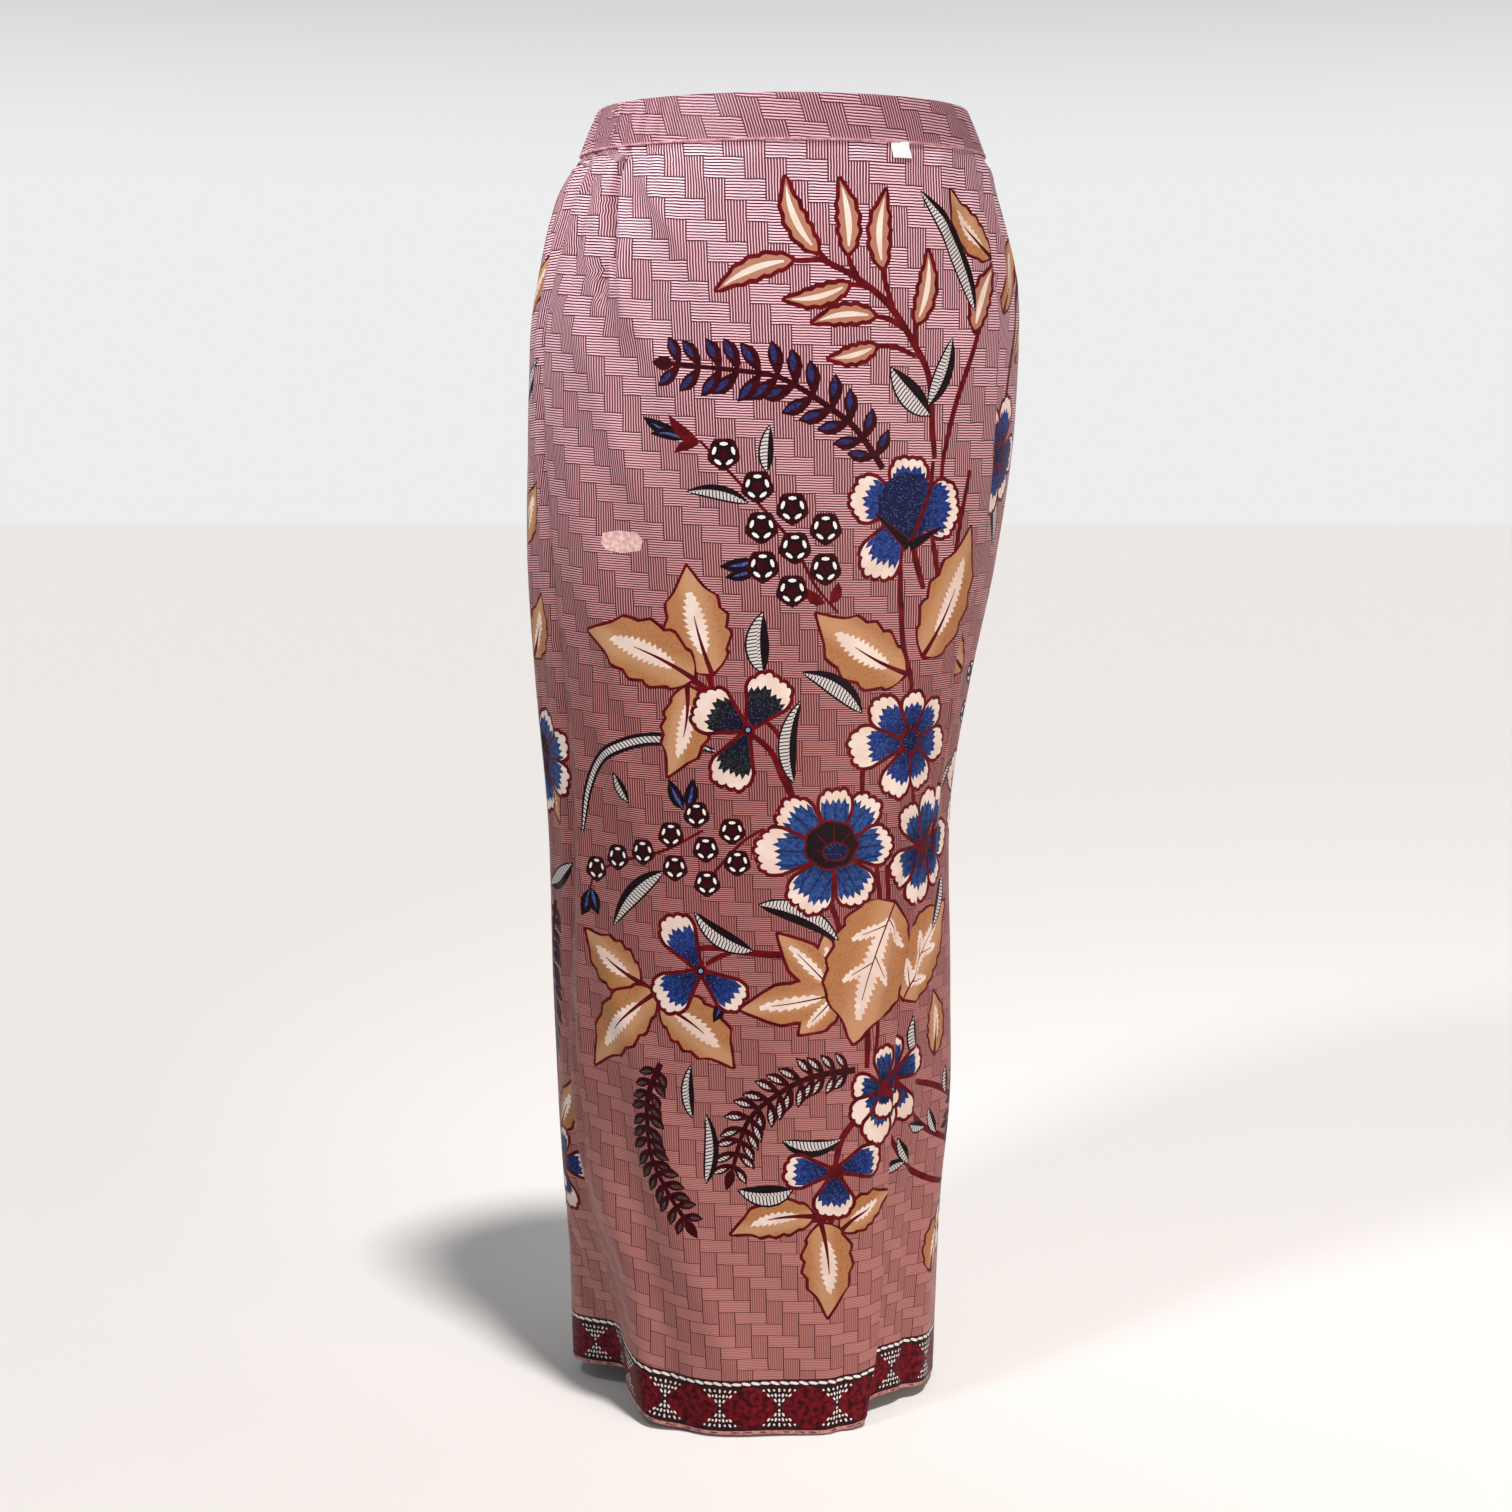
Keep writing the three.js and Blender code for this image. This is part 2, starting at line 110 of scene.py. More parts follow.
SECTIONS = table("""
    z      half_width  half_depth  centre_x  centre_y
    0      141.5       113         0         -2
    -34    156         120         0         0
    -67    170.5       125         -4        3
    -113   184         130         -4        6
    -182   193.5       134         -5        9
    -252   193         135         -8        10
    -346   186         133         -16       8
    -441   173.5       131         -23       5
    -538   162         131         -26       2
    -684   160         133         -24       0
    -782   158.5       135         -22       0
    -882   153         138         -22       0
    -1010  150         140         -23       0
""")

LEFT_SEAM = table("""
    z      angle  depth
    -34    -66    1.5
    -100   -68    4
    -200   -71    4
    -300   -65    4
    -450   -59    4
    -600   -61    4
    -740   -68    3
    -860   -67    12
    -915   -68    24
    -1010  -70    38
""")

RIGHT_SEAM = table("""
    z      angle  depth
    -34    118    1
    -200   111    3
    -600   112    3
    -1010  110    6
""")

# The long pleat: its folded edge, how far the cloth turns back under it, how far it is open,
# and how far the cloth beyond it is set back.
PLEAT = table("""
    z      angle  tuck  open  set_back
    -34    67     -10   0     0
    -100   62     -4    1     0
    -150   61     3     1     1
    -237   61     7     1     2
    -344   65     9     1     2
    -400   62     11    1     3
    -550   61     15    1     5
    -605   53     17    1     6
    -680   44     19    1     7
    -760   41     22    1     8
    -945   39     28    1     12
    -1010  35     30    1     14
""")

PLEAT_PATH = table("""
    along  tucked  rise
    0.0    0       0.0
    0.9    0       -0.25
    1.4    0       -0.6
    1.85   0       -1.2
    2.0    0       -2.0
    1.85   0       -2.8
    1.4    0       -3.4
    0.0    0       -4.0
    0.0    1       -4.0
    -0.7   1       -4.3
    -0.9   1       -4.8
    -0.7   1       -5.3
    0.0    1       -5.6
""")

# Soft folds and creases, each from a height and angle to another. A ridge has a positive height.
FRONT_FOLDS = table("""
    name               start      end         width  height  fade
    left_tuck          -36,-48.5  -132,-40.5  3      -11     14
    left_tuck_lip      -36,-46    -132,-38    3      2.6     14
    left_tuck_strip    -70,-47    -138,-43.5  4.5    -5      26
    left_tuck_puff     -96,-38    -175,-35    6.5    5.5     30
    left_flap          -128,-45   -150,-43    3.5    -5      14
    upper_drag         -45,-36    -150,-16    9      3.8     40
    middle_drag        -90,-48    -230,-20    11     4.2     60
    lower_drag         -150,-55   -330,-24    13     3.8     80
    last_drag          -240,-58   -420,-30    14     3.4     90
    hip_trough         -60,-58    -135,-57    5      -4.5    30
    left_ridge         -500,-52   -760,-57    8      4       90
    left_lower_ridge   -820,-50   -1010,-33   16     4       90
    left_lower_trough  -760,-42   -1010,-22   14     -4      120
    pleat_ridge        -300,52    -1010,25    22     4.5     160
    middle_trough      -620,-8    -1010,6     30     -3.5    150
    right_gather       -36,76     -130,72     7      3.4     50
    right_gather_end   -36,90     -150,88     7      3.4     50
    right_side_fold    -300,92    -800,84     22     3       160
    right_hem_fold     -760,78    -1010,70    18     4       110
    band_pull_a        -36,-38    -78,-25     5      3.2     22
    band_pull_b        -48,-40    -112,-22    5.5    3       30
    band_pull_c        -36,-26    -80,-14     6      2.4     26
    band_pull_d        -36,-8     -84,-3      7      2       30
    band_pull_e        -36,22     -85,25      7      2       30
    band_pull_f        -36,47     -110,42     6      2.6     40
    band_pull_g        -36,57     -120,50     6      -2.2    40
    side_pucker_a      -36,-61    -75,-62     3.5    1.8     20
    side_pucker_b      -36,-56    -70,-58     3      -1.8    20
    side_pucker_c      -36,-52    -80,-52     4      1.8     24
    hip_wrinkle        -110,-52   -160,-44    5      2.2     26
    tummy_drag         -200,-30   -300,-8     12     2.2     60
    right_hip_drag     -150,52    -300,36     12     2.4     70
    thigh_drag_a       -330,-52   -470,-30    12     3.4     70
    thigh_drag_b       -430,-48   -560,-28    12     3       80
    shin_drag          -640,-46   -820,-20    14     3.6     90
    hem_drag           -800,-30   -980,-4     15     3.6     90
    knee_drag          -560,30    -700,6      16     2.4     90
    pleat_crease_a     -560,50    -700,38     5      -3.4    50
    pleat_crease_b     -700,34    -860,31     6      3       60
    pleat_crease_c     -860,30    -1010,26    7      -3.8    60
    beyond_pleat_a     -640,57    -820,54     6      3.4     60
    beyond_pleat_b     -800,60    -1010,62    7      -3.4    60
    beyond_pleat_c     -430,74    -600,70     7      3       60
    left_crease        -690,-62   -860,-58    4      -3.4    50
""")

BACK_FOLDS = table("""
    name               start     end        width  height  fade
    left_strip_crease  -860,272  -960,282   6      -4      40
    seat_drag_left     -150,146  -340,176   14     4       80
    seat_drag_right    -130,236  -320,208   14     4       80
    under_seat         -420,150  -760,158   20     -4.5    120
    back_middle_fold   -480,192  -1010,186  22     6       160
    back_left_fold     -560,226  -1010,232  20     -6      160
    back_hem_fold      -700,140  -1010,133  20     6       140
    strip_ridge        -300,283  -700,285   6      2       120
    seat_line          -300,165  -420,205   10     2.6     60
    seat_line_low      -370,214  -470,176   9      2.4     60
    knee_drag_a        -560,168  -660,196   10     2.6     60
    knee_drag_b        -640,208  -740,184   9      -2.4    60
    calf_drag          -780,156  -900,186   12     3       80
    hem_crease_a       -820,170  -1010,166  8      3       80
    hem_crease_b       -780,250  -1010,254  9      -3.4    90
    right_calf_crease  -700,122  -900,128   7      -3      80
""")

HEM = table("""
    angle  rise
    -110   10
    -70    16
    -56    20
    -44    14
    -30    3
    0      0
    34     1
    48     10
    90     3
    180    6
    250    10
    290    16
""")

HEM_BEND = 6  # power by which the hem's rise fades out upwards
HEM_TABLE_END = 292  # the hem's table goes round from this angle
BAND_FOLDS = -40  # folds that start above this come out of the band's seam at full height
HELD_FLAT = 12  # the band holds the folds flat over this height
UNDER_BAND = 1.4  # the cloth turns in under the band by this much
SEAM_GROOVE = 2.2  # half the height of that turn
GROOVE_DROP = 3.6  # and its place below the panel's top edge
SEAM_WIDTH = 7  # how wide the hollow along a side seam is where it is shallow
LEFT_HOLLOW_FRONT = 62  # its width where it is deep, on the front and on the back of each seam
LEFT_HOLLOW_BACK = 32
RIGHT_HOLLOW = 20
BEFORE_PLEAT = 150  # stations on the front panel up to the pleat's folded edge
BEYOND_PLEAT = 90
GATHERS = 20
GATHER_STATIONS = 16
GATHER_HEIGHT = 3.8
GATHER_FADE = 95
LONG_GATHER_FADE = 210  # every third gather runs down this far
GATHER_START = 12  # the seam holds the gathers nearly flat over this height
AT_SEAM = 0.1  # share of a gather's height at the seam itself
PUCKER_HEIGHT = 0.7  # finer puckers between the gathers
PUCKER_FADE = 26
PUCKERS = 2.6  # for each gather
RUCHES = 36
RUCHE_HEIGHT = 1.3
BAND_LEFT = -57
BAND_RIGHT = 123
CAMERA_X = -21  # the straight grain of the cloth runs down this line


# ---------------------------------------------------------------- the filled-out form


def section_at(z):
    return {name: follow(SECTIONS, "z", z, name) for name in list(SECTIONS[0])[1:]}


def mm_per_degree(angle, z):
    s = section_at(z)
    along_x, along_y = s["half_width"] * np.cos(angle * DEGREE), s["half_depth"] * np.sin(angle * DEGREE)
    return DEGREE * np.hypot(along_x, along_y)


def on_section(angle, z, rise):
    """Points that stand out from the section at an angle by rise."""
    s = section_at(z)
    sin, cos = np.sin(angle * DEGREE), np.cos(angle * DEGREE)
    out_x, out_y = s["half_depth"] * sin, -s["half_width"] * cos
    length = np.hypot(out_x, out_y)
    x = s["centre_x"] + s["half_width"] * sin + rise * out_x / length
    y = s["centre_y"] - s["half_depth"] * cos + rise * out_y / length
    return np.stack([x, y, np.broadcast_to(z, x.shape)], axis=-1)


def folds_at(folds, angle, z):
    scale = mm_per_degree(angle, z)
    total = np.zeros(np.broadcast(angle, z).shape)
    for fold in folds:
        (start, start_angle), (end, end_angle), fade = fold["start"], fold["end"], fold["fade"]
        middle = mix(start_angle, end_angle, np.clip((z - start) / (end - start), 0, 1))
        across = (angle - middle) * scale / fold["width"]
        above = smooth((start + fade / 2 - z) / fade) if start < BAND_FOLDS else 1
        below = smooth((z - end + fade / 2) / fade) if end > -LENGTH else 1
        total = total + fold["height"] * np.exp(-across * across) * above * below
    drop = PANEL_TOP - z
    groove = UNDER_BAND * np.exp(-(((drop - GROOVE_DROP) / SEAM_GROOVE) ** 2))
    return total * smooth(drop / HELD_FLAT) - groove


def seam_depth(seam, z, away, wide):
    depth = follow(seam, "z", z, "depth")
    deep = smooth((depth - 4) / 20)
    return depth * np.exp(-((away / mix(SEAM_WIDTH, wide, deep)) ** 2))


def front_relief(angle, z):
    scale = mm_per_degree(angle, z)
    left = (angle - follow(LEFT_SEAM, "z", z, "angle")) * scale
    right = (angle - follow(RIGHT_SEAM, "z", z, "angle")) * scale
    hollow = seam_depth(LEFT_SEAM, z, left, LEFT_HOLLOW_FRONT)
    hollow = hollow + seam_depth(RIGHT_SEAM, z, right, RIGHT_HOLLOW)
    return folds_at(FRONT_FOLDS, angle, z) - hollow


def front_form(z):
    """Angles and rises of the front panel's stations at the heights z, a column of them."""
    seam = follow(LEFT_SEAM, "z", z, "angle")
    edge = follow(PLEAT, "z", z, "angle")
    end = follow(RIGHT_SEAM, "z", z, "angle")
    tuck = follow(PLEAT, "z", z, "tuck")
    opened = follow(PLEAT, "z", z, "open")
    scale = mm_per_degree(edge, z)

    share = np.linspace(0, 1, BEFORE_PLEAT, endpoint=False)
    angle = mix(seam + GAP / 2 / mm_per_degree(seam, z), edge, share)
    parts = [(angle, front_relief(angle, z))]

    folded = smooth((tuck + 1) / 4)
    for k, bend in enumerate(PLEAT_PATH):
        plain = np.abs(np.minimum(tuck, 1)) * k / (len(PLEAT_PATH) - 1)
        bent = bend["along"] - bend["tucked"] * np.maximum(tuck, 0)
        rise = front_relief(edge, z) + bend["rise"] * opened
        parts.append((edge + mix(plain, bent, folded) / scale, rise))

    share = np.arange(1, BEYOND_PLEAT + 1) / BEYOND_PLEAT
    start = edge - tuck / scale
    angle = mix(start, end - GAP / 2 / mm_per_degree(end, z), share)
    behind = smooth((angle - start) * scale / (np.abs(tuck) + 10))
    recover = 1 - smooth((angle - edge) / (end - edge))
    set_back = follow(PLEAT, "z", z, "set_back") * behind - PLEAT_PATH[-1]["rise"] * opened
    rise = mix(front_relief(edge, z), front_relief(angle, z), behind) - set_back * recover
    parts.append((angle, rise))
    return np.hstack([p[0] for p in parts]), np.hstack([p[1] for p in parts])


def back_form(z):
    """Angles and rises of the back panel's stations, gathered under the elastic."""
    right = follow(RIGHT_SEAM, "z", z, "angle")
    left = follow(LEFT_SEAM, "z", z, "angle") + FULL_TURN
    start = right + GAP / 2 / mm_per_degree(right, z)
    end = left - GAP / 2 / mm_per_degree(left, z)
    share = np.linspace(0, 1, GATHERS * GATHER_STATIONS + 1)
    angle = mix(start, end, share)
    away_right = (angle - right) * mm_per_degree(angle, z)
    away_left = (left - angle) * mm_per_degree(angle, z)
    hollow = seam_depth(RIGHT_SEAM, z, away_right, RIGHT_HOLLOW)
    hollow = hollow + seam_depth(LEFT_SEAM, z, away_left, LEFT_HOLLOW_BACK)
    drop = PANEL_TOP - z
    wave = GATHERS * share + 0.28 * np.sin(17 * share) + 0.12 * np.sin(41 * share + 1)
    number = np.floor(wave)
    height = GATHER_HEIGHT * (0.75 + 0.25 * np.sin(number * 2.7))
    fade = np.where(number % 3 == 1, LONG_GATHER_FADE, GATHER_FADE)
    sides = smooth(share * 40) * smooth((1 - share) * 40)
    crest = np.sin(np.pi * (wave - number)) ** 2 * 2 - 1
    held = mix(AT_SEAM, 1, smooth(drop / GATHER_START))
    gathered = sides * held * height * crest * np.exp(-drop / fade)
    pucker = PUCKER_HEIGHT * np.sin(2 * np.pi * (PUCKERS * wave + 0.2)) * np.exp(-drop / PUCKER_FADE)
    pucker = pucker * sides * smooth(2 * drop / GATHER_START)
    return angle, folds_at(BACK_FOLDS, angle, z) + gathered + pucker - hollow


class Drape:
    """Flat cloth laid on the form. u runs round the skirt and v down it, both in mm of cloth, and
    u is 0 along the straight grain."""

    ROW = 4.0

    def __init__(self, form, grain_x, front):
        rows = int(PANEL_LENGTH / self.ROW) + 1
        self.v = np.linspace(0, PANEL_LENGTH, rows)
        z = (PANEL_TOP - self.v)[:, None]
        angle, rise = form(z)
        points = on_section(angle, z, rise)
        turn = np.where(angle > HEM_TABLE_END, angle - FULL_TURN, angle)
        points[..., 2] += follow(HEM, "angle", turn, "rise") * (self.v / PANEL_LENGTH)[:, None] ** HEM_BEND
        steps = np.hypot(*np.moveaxis(np.diff(points[..., :2], axis=1), 2, 0))
        u = np.hstack([np.zeros((rows, 1)), np.cumsum(steps, axis=1)])
        low, high = (-60, 60) if front else (140, 240)
        facing = 1 if front else -1
        for r in range(rows):
            use = (angle[r] > low) & (angle[r] < high)
            u[r] -= np.interp(grain_x * facing, points[r, use, 0] * facing, u[r, use])
        down = np.gradient(points, axis=0)
        along = np.gradient(points, axis=1)
        normal = np.cross(down, along)
        normal /= np.maximum(np.linalg.norm(normal, axis=-1, keepdims=True), 1e-9)
        self.u, self.points, self.normals = u, points, normal

    def left(self, v):
        return np.interp(v, self.v, self.u[:, 0])

    def right(self, v):
        return np.interp(v, self.v, self.u[:, -1])

    def place(self, u, v):
        """Points in space for flat points, and the cloth's outward directions there."""
        at = np.clip(v / self.v[-1], 0, 1) * (len(self.v) - 1)
        low = np.minimum(at.astype(int), len(self.v) - 2)
        down = (at - low)[:, None]
        across = (u - self.left(v)) / (self.right(v) - self.left(v))
        found = np.empty((len(u), 2, 6))
        for r in np.unique(low):
            pick = np.nonzero(low == r)[0]
            for k in (0, 1):
                row_u = self.u[r + k]
                row_at = mix(row_u[0], row_u[-1], across[pick])
                row = np.hstack([self.points[r + k], self.normals[r + k]])
                for c in range(6):
                    found[pick, k, c] = np.interp(row_at, row_u, row[:, c])
        both = mix(found[:, 0], found[:, 1], down)
        return both[:, :3], both[:, 3:] / np.linalg.norm(both[:, 3:], axis=1, keepdims=True)


# ---------------------------------------------------------------- drawing on the flat cloth


LEAF_STEP = 4.5  # from point to point along a smooth leaf
TOOTH_POINTS = 5  # points for each tooth of a jagged one
LEAF_OUTLINE = 2.8  # how far the maroon stands out round a large leaf, in mm
TAN_OUTLINE = 2.7
SMALL_OUTLINE = 3.4
SMALL_LEAF = 20  # a tan leaf narrower than this is drawn more simply
PETAL_OUTLINE = 3.0
INNER_SHARE = 1.18  # the inked part of a petal over its tabled share
INNER_MOST = 0.84
SCALLOP = 7  # width of a petal's scallops and of its inner teeth
INNER_TOOTH = 4.2
FAN_CORNER = 0.24  # how far a petal's corners are rounded off, as a share
FAN_SHOULDER = 0.72  # where its straight sides end
FAN_SIDE = (0.0, 0.3, 0.62)
FERN_CORE = (0.38, 0.95)  # where the inked core of a fern's leaf starts and ends
# The side veins of a broad leaf: where they start, and how far they go aside and ahead.
ARMS = ((0.12, 0.34, 0.16), (0.16, -0.34, 0.16), (0.4, 0.27, 0.18), (0.44, -0.27, 0.18))
# The lobes of a lobed leaf: how far they turn, and their length and width as shares.
LOBES = ((-0.62, 0.55, 0.4), (1.44, 0.62, 0.44), (0.92, 0.88, 0.44), (0, 1, 0.5))


def spline(points, step=3.0):
    """A smooth line through points, sampled about every step mm."""
    p = np.array(points, float)
    p = np.vstack([2 * p[0] - p[1], p, 2 * p[-1] - p[-2]])
    out = []
    for a, b, c, d in zip(p[:-3], p[1:-2], p[2:-1], p[3:]):
        count = max(2, int(np.hypot(*(c - b)) / step))
        t = np.linspace(0, 1, count, endpoint=False)[:, None]
        bend = (2 * a - 5 * b + 4 * c - d) * t + (3 * b - a - 3 * c + d) * t * t
        out.append(b + 0.5 * t * ((c - a) + bend))
    return np.vstack(out + [p[-2:-1]])


def heading(angle):
    return np.array([math.cos(angle), math.sin(angle)])


def signed_area(loop):
    x, y = loop.T
    return np.sum(x * np.roll(y, -1) - np.roll(x, -1) * y) / 2


def left_of(line):
    """Unit vectors to the left of a line, seen with v down."""
    run = np.gradient(line, axis=0)
    run /= np.linalg.norm(run, axis=1, keepdims=True)
    return np.stack([run[:, 1], -run[:, 0]], axis=1)


def ribbon(line, half_width):
    """A strip round a line; half_width is one number, or one for each point."""
    side = left_of(line) * np.reshape(np.broadcast_to(half_width, len(line)), (-1, 1))
    return np.vstack([line + side, (line - side)[::-1]])


def bowed(base, tip, bow, count):
    """Points from base to tip on a shallow bow, as a share of the length."""
    base, tip = np.array(base, float), np.array(tip, float)
    t = np.linspace(0, 1, count)[:, None]
    run = tip - base
    return base + run * t + np.array([run[1], -run[0]]) * bow * 4 * t * (1 - t)


def leaf_width(t, width, widest=0.45, blunt=0.8, teeth=0, jag=0.0, tail=0.0):
    """Half the width of a leaf along it; teeth point to the tip, and a tail draws the tip out."""
    power = math.log(0.5) / math.log(widest)
    half = width / 2 * np.sin(np.pi * np.clip(t, 0, 1) ** power) ** blunt
    half = half * (1 - tail * smooth((t - 0.7) / 0.24))
    if not teeth:
        return half
    tooth = np.mod(t * teeth + 0.15, 1)
    return half * (1 + jag * (np.where(tooth < 0.72, tooth / 0.72, (1 - tooth) / 0.28) - 0.55))


def swollen(loop, grow):
    """A closed loop moved outwards by grow."""
    run = np.roll(loop, -1, axis=0) - np.roll(loop, 1, axis=0)
    run /= np.maximum(np.linalg.norm(run, axis=1, keepdims=True), 1e-6)
    side = np.stack([run[:, 1], -run[:, 0]], axis=1)
    return loop + side * grow * np.sign(signed_area(loop))


def fan(centre, aim, spread, root, far, edge):
    """A fan from root to far round a centre; edge is its outer radius as a share, along its arc."""
    half = spread * DEGREE / 2
    t = np.linspace(-1, 1, len(edge))
    outer = far * edge * (1 - FAN_CORNER * np.abs(t) ** 3)
    low = np.array(FAN_SIDE)
    side_r = mix(root, far * FAN_SHOULDER, low)
    side_t = mix(0.9, 1.0, low)
    r = np.concatenate([side_r, outer, side_r[::-1]])
    turn = np.concatenate([-side_t, t, side_t[::-1]])
    angle = aim * DEGREE + half * turn
    return np.stack([centre[0] + r * np.cos(angle), centre[1] + r * np.sin(angle)], axis=1)


class Print:
    """Flat shapes in painter's order. Each has an ink, and an axis for the ink's own pattern."""

    def __init__(self, shift=(0, 0)):
        self.shapes = []
        self.shift = np.array(shift, float)

    def add(self, points, ink, base=(0, 0), tip=(1, 0), width=2.0):
        self.shapes.append(
            {
                "points": np.asarray(points, float) + self.shift,
                "ink": ink,
                "base": np.array(base, float) + self.shift,
                "tip": np.array(tip, float) + self.shift,
                "half": width / 2,
            }
        )

    def leaf(self, base, tip, width, ink, bow=0.0, side=0, grow=0.0, teeth=0, **shape):
        """A leaf or one half of it, grown all round by grow; shape is for leaf_width."""
        length = np.hypot(*np.subtract(tip, base))
        count = teeth * TOOTH_POINTS if teeth else max(5, int(length / LEAF_STEP))
        line = bowed(base, tip, bow, count)
        if grow:
            run = np.subtract(tip, base) / length * grow
            line[0] -= run
            line[-1] += run
        half = leaf_width(np.linspace(0, 1, count), width, teeth=teeth, **shape) + grow
        half[[0, -1]] = 0.25 if not grow else grow * 0.4
        across = left_of(line) * half[:, None]
        left = line + across if side >= 0 else line
        right = line - across if side <= 0 else line
        self.add(np.vstack([left, right[::-1]]), ink, base, tip, width)

    def disc(self, centre, radius, ink, count=12, squash=1.0, turn=0.0, wave=0.0, waves=6):
        angle = np.linspace(0, 2 * np.pi, count, endpoint=False)
        r = radius * (1 + wave * np.cos(waves * angle))
        x, y = r * np.cos(angle), r * squash * np.sin(angle)
        c, s = heading(turn)
        points = np.stack([centre[0] + x * c - y * s, centre[1] + x * s + y * c], axis=1)
        self.add(points, ink, centre, (centre[0] + radius, centre[1]), 2 * radius)

    # ------------------------------------------------ kinds of motif

    def stem(self, points, width):
        line = spline(points)
        taper = 0.7 + 0.3 * np.sin(np.pi * np.linspace(0.1, 0.9, len(line)))
        self.add(ribbon(line, width / 2 * taper), "maroon")

    def feather(self, axis, reach):
        """A jagged streak along an axis, with its points aimed at the tip."""
        count = len(axis)
        size = reach * np.sin(np.pi * np.linspace(0.1, 0.96, count)) ** 0.7
        jag = np.where(np.arange(count) % 2, 1.0, 0.6)
        ahead_of = np.gradient(axis, axis=0) * (2.2 * (jag - 0.6))[:, None]
        side = left_of(axis) * (size * jag)[:, None]
        other = left_of(axis) * (size * np.roll(jag, 1))[:, None]
        self.add(np.vstack([axis + side + ahead_of, (axis - other)[::-1]]), "cream")

    def vein(self, base, tip, bow, start, end, thick):
        line = bowed(base, tip, bow, 21)[int(20 * start) : int(20 * end) + 1]
        self.add(ribbon(line, np.linspace(thick, 0.3, len(line))), "maroon")

    def tan_leaf(self, base, tip, width, bow):
        length = np.hypot(*np.subtract(tip, base))
        small = width < SMALL_LEAF
        shape = {"teeth": 5, "jag": 0.3 if small else 0.2, "tail": 0.45, "widest": 0.42, "blunt": 0.72}
        self.leaf(base, tip, width, "maroon", bow, grow=SMALL_OUTLINE if small else TAN_OUTLINE, **shape)
        self.leaf(base, tip, width, "brown" if small else "tan", bow, **shape)
        if small:
            line = bowed(base, tip, bow, 12)
            return self.add(ribbon(line[1:11], 0.17 * width * np.sin(np.linspace(0.3, 3.0, 10))), "cream")
        axis = bowed(base, tip, bow, int(length / 2.2))
        low, high = int(len(axis) * 0.2), int(len(axis) * 0.78)
        self.feather(axis[low:high], width * 0.2)
        self.vein(base, tip, bow, 0, 0.58, 2.1)

    def broad_leaf(self, base, tip, width, bow):
        """A large leaf with side veins, each in its own pale streak."""
        shape = {"teeth": 7, "jag": 0.12, "tail": 0.6, "widest": 0.42, "blunt": 0.5}
        self.leaf(base, tip, width, "maroon", bow, grow=LEAF_OUTLINE, **shape)
        self.leaf(base, tip, width, "tan", bow, **shape)
        axis = bowed(base, tip, bow, 45)
        run = np.subtract(tip, base)
        side = np.array([run[1], -run[0]]) / np.hypot(*run) * width
        arms = []
        for share, across, ahead_by in ARMS:
            root = axis[int(44 * share)]
            arms.append((root, root + side * across + run * ahead_by))
        for root, end in arms:
            self.feather(bowed(root, end, 0, 13), 5.0)
        self.feather(axis[5:38], width * 0.13)
        self.vein(base, tip, bow, 0, 0.7, 0.8)
        for root, end in arms:
            self.vein(root, end, 0, 0, 0.7, 0.5)

    def lobed_leaf(self, base, tip, width, bow):
        """A leaf of four unequal lobes that spring from one base."""
        base, tip = np.array(base, float), np.array(tip, float)
        run = tip - base
        lobes = []
        for turn, reach, share in LOBES:
            c, s = heading(turn)
            way = np.array([run[0] * c - run[1] * s, run[0] * s + run[1] * c])
            lobes.append((base, base + way * reach, width * share))
        shape = {"teeth": 4, "jag": 0.12, "widest": 0.45, "blunt": 0.6, "tail": 0.4}
        for root, end, wide in lobes:
            self.leaf(root, end, wide, "maroon", grow=LEAF_OUTLINE, **shape)
        for root, end, wide in lobes:
            self.leaf(root, end, wide, "tan", **shape)
        for root, end, wide in lobes:
            self.feather(bowed(root, end, 0, 23)[4:19], wide * 0.19)
            self.vein(root, end, 0, 0, 0.7, 0.8)

    def hatch_leaf(self, base, tip, width, bow):
        self.leaf(base, tip, width, "black", bow, grow=1.3)
        self.leaf(base, tip, width * 0.96, "hatch", bow, side=1)
        self.leaf(base, tip, width * 0.3, "hatch", bow, side=-1)

    def plain_leaf(self, base, tip, width, bow):
        self.leaf(base, tip, width, "black", bow, grow=1.0)
        self.leaf(base, bowed(base, tip, bow, 10)[7], width * 0.3, "blue", bow * 0.7)

    def sepal_leaf(self, base, tip, width, bow):
        self.leaf(base, tip, width, "maroon", bow)

    def fern(self, points, pairs, length, width, core):
        line = spline(points)
        self.add(ribbon(line, np.linspace(2.6, 1.6, len(line))), "wine")
        run = np.gradient(line, axis=0)
        aim = np.arctan2(run[:, 1], run[:, 0])
        for k in range(pairs):
            at = (k + 0.7) / pairs * (len(line) - 1)
            i = min(int(at), len(line) - 2)
            root = mix(line[i], line[i + 1], at - i)
            size = 0.66 + 0.34 * math.sin(math.pi * (0.12 + 0.76 * (k + 0.5) / pairs))
            for sign in (-1, 1):
                turn = aim[i] + sign * (0.96 + 0.12 * math.sin(2.3 * k + sign))
                reach = heading(turn) * length * size
                self.leaf(root, root + reach, width * size, "wine", sign * -0.05, widest=0.6, grow=1.1)
                self.leaf(root + reach * FERN_CORE[0], root + reach * FERN_CORE[1], width * size * 0.5, core)
        self.leaf(line[-1], line[-1] * 2.6 - line[-4] * 1.6, width, "wine", grow=0.8)

    def berry(self, centre, radius):
        self.disc(centre, radius, "wine", 20, wave=0.07, waves=5, turn=0.3)
        self.disc(centre, radius * 0.82, "black", 12)
        for k in range(5):
            turn = 2 * math.pi * k / 5 - math.pi / 2
            place = centre + radius * 0.62 * heading(turn)
            self.disc(place, radius * 0.12, "white", 6, squash=2.3, turn=turn)
        self.disc(centre, radius * 0.36, "wine", 8)

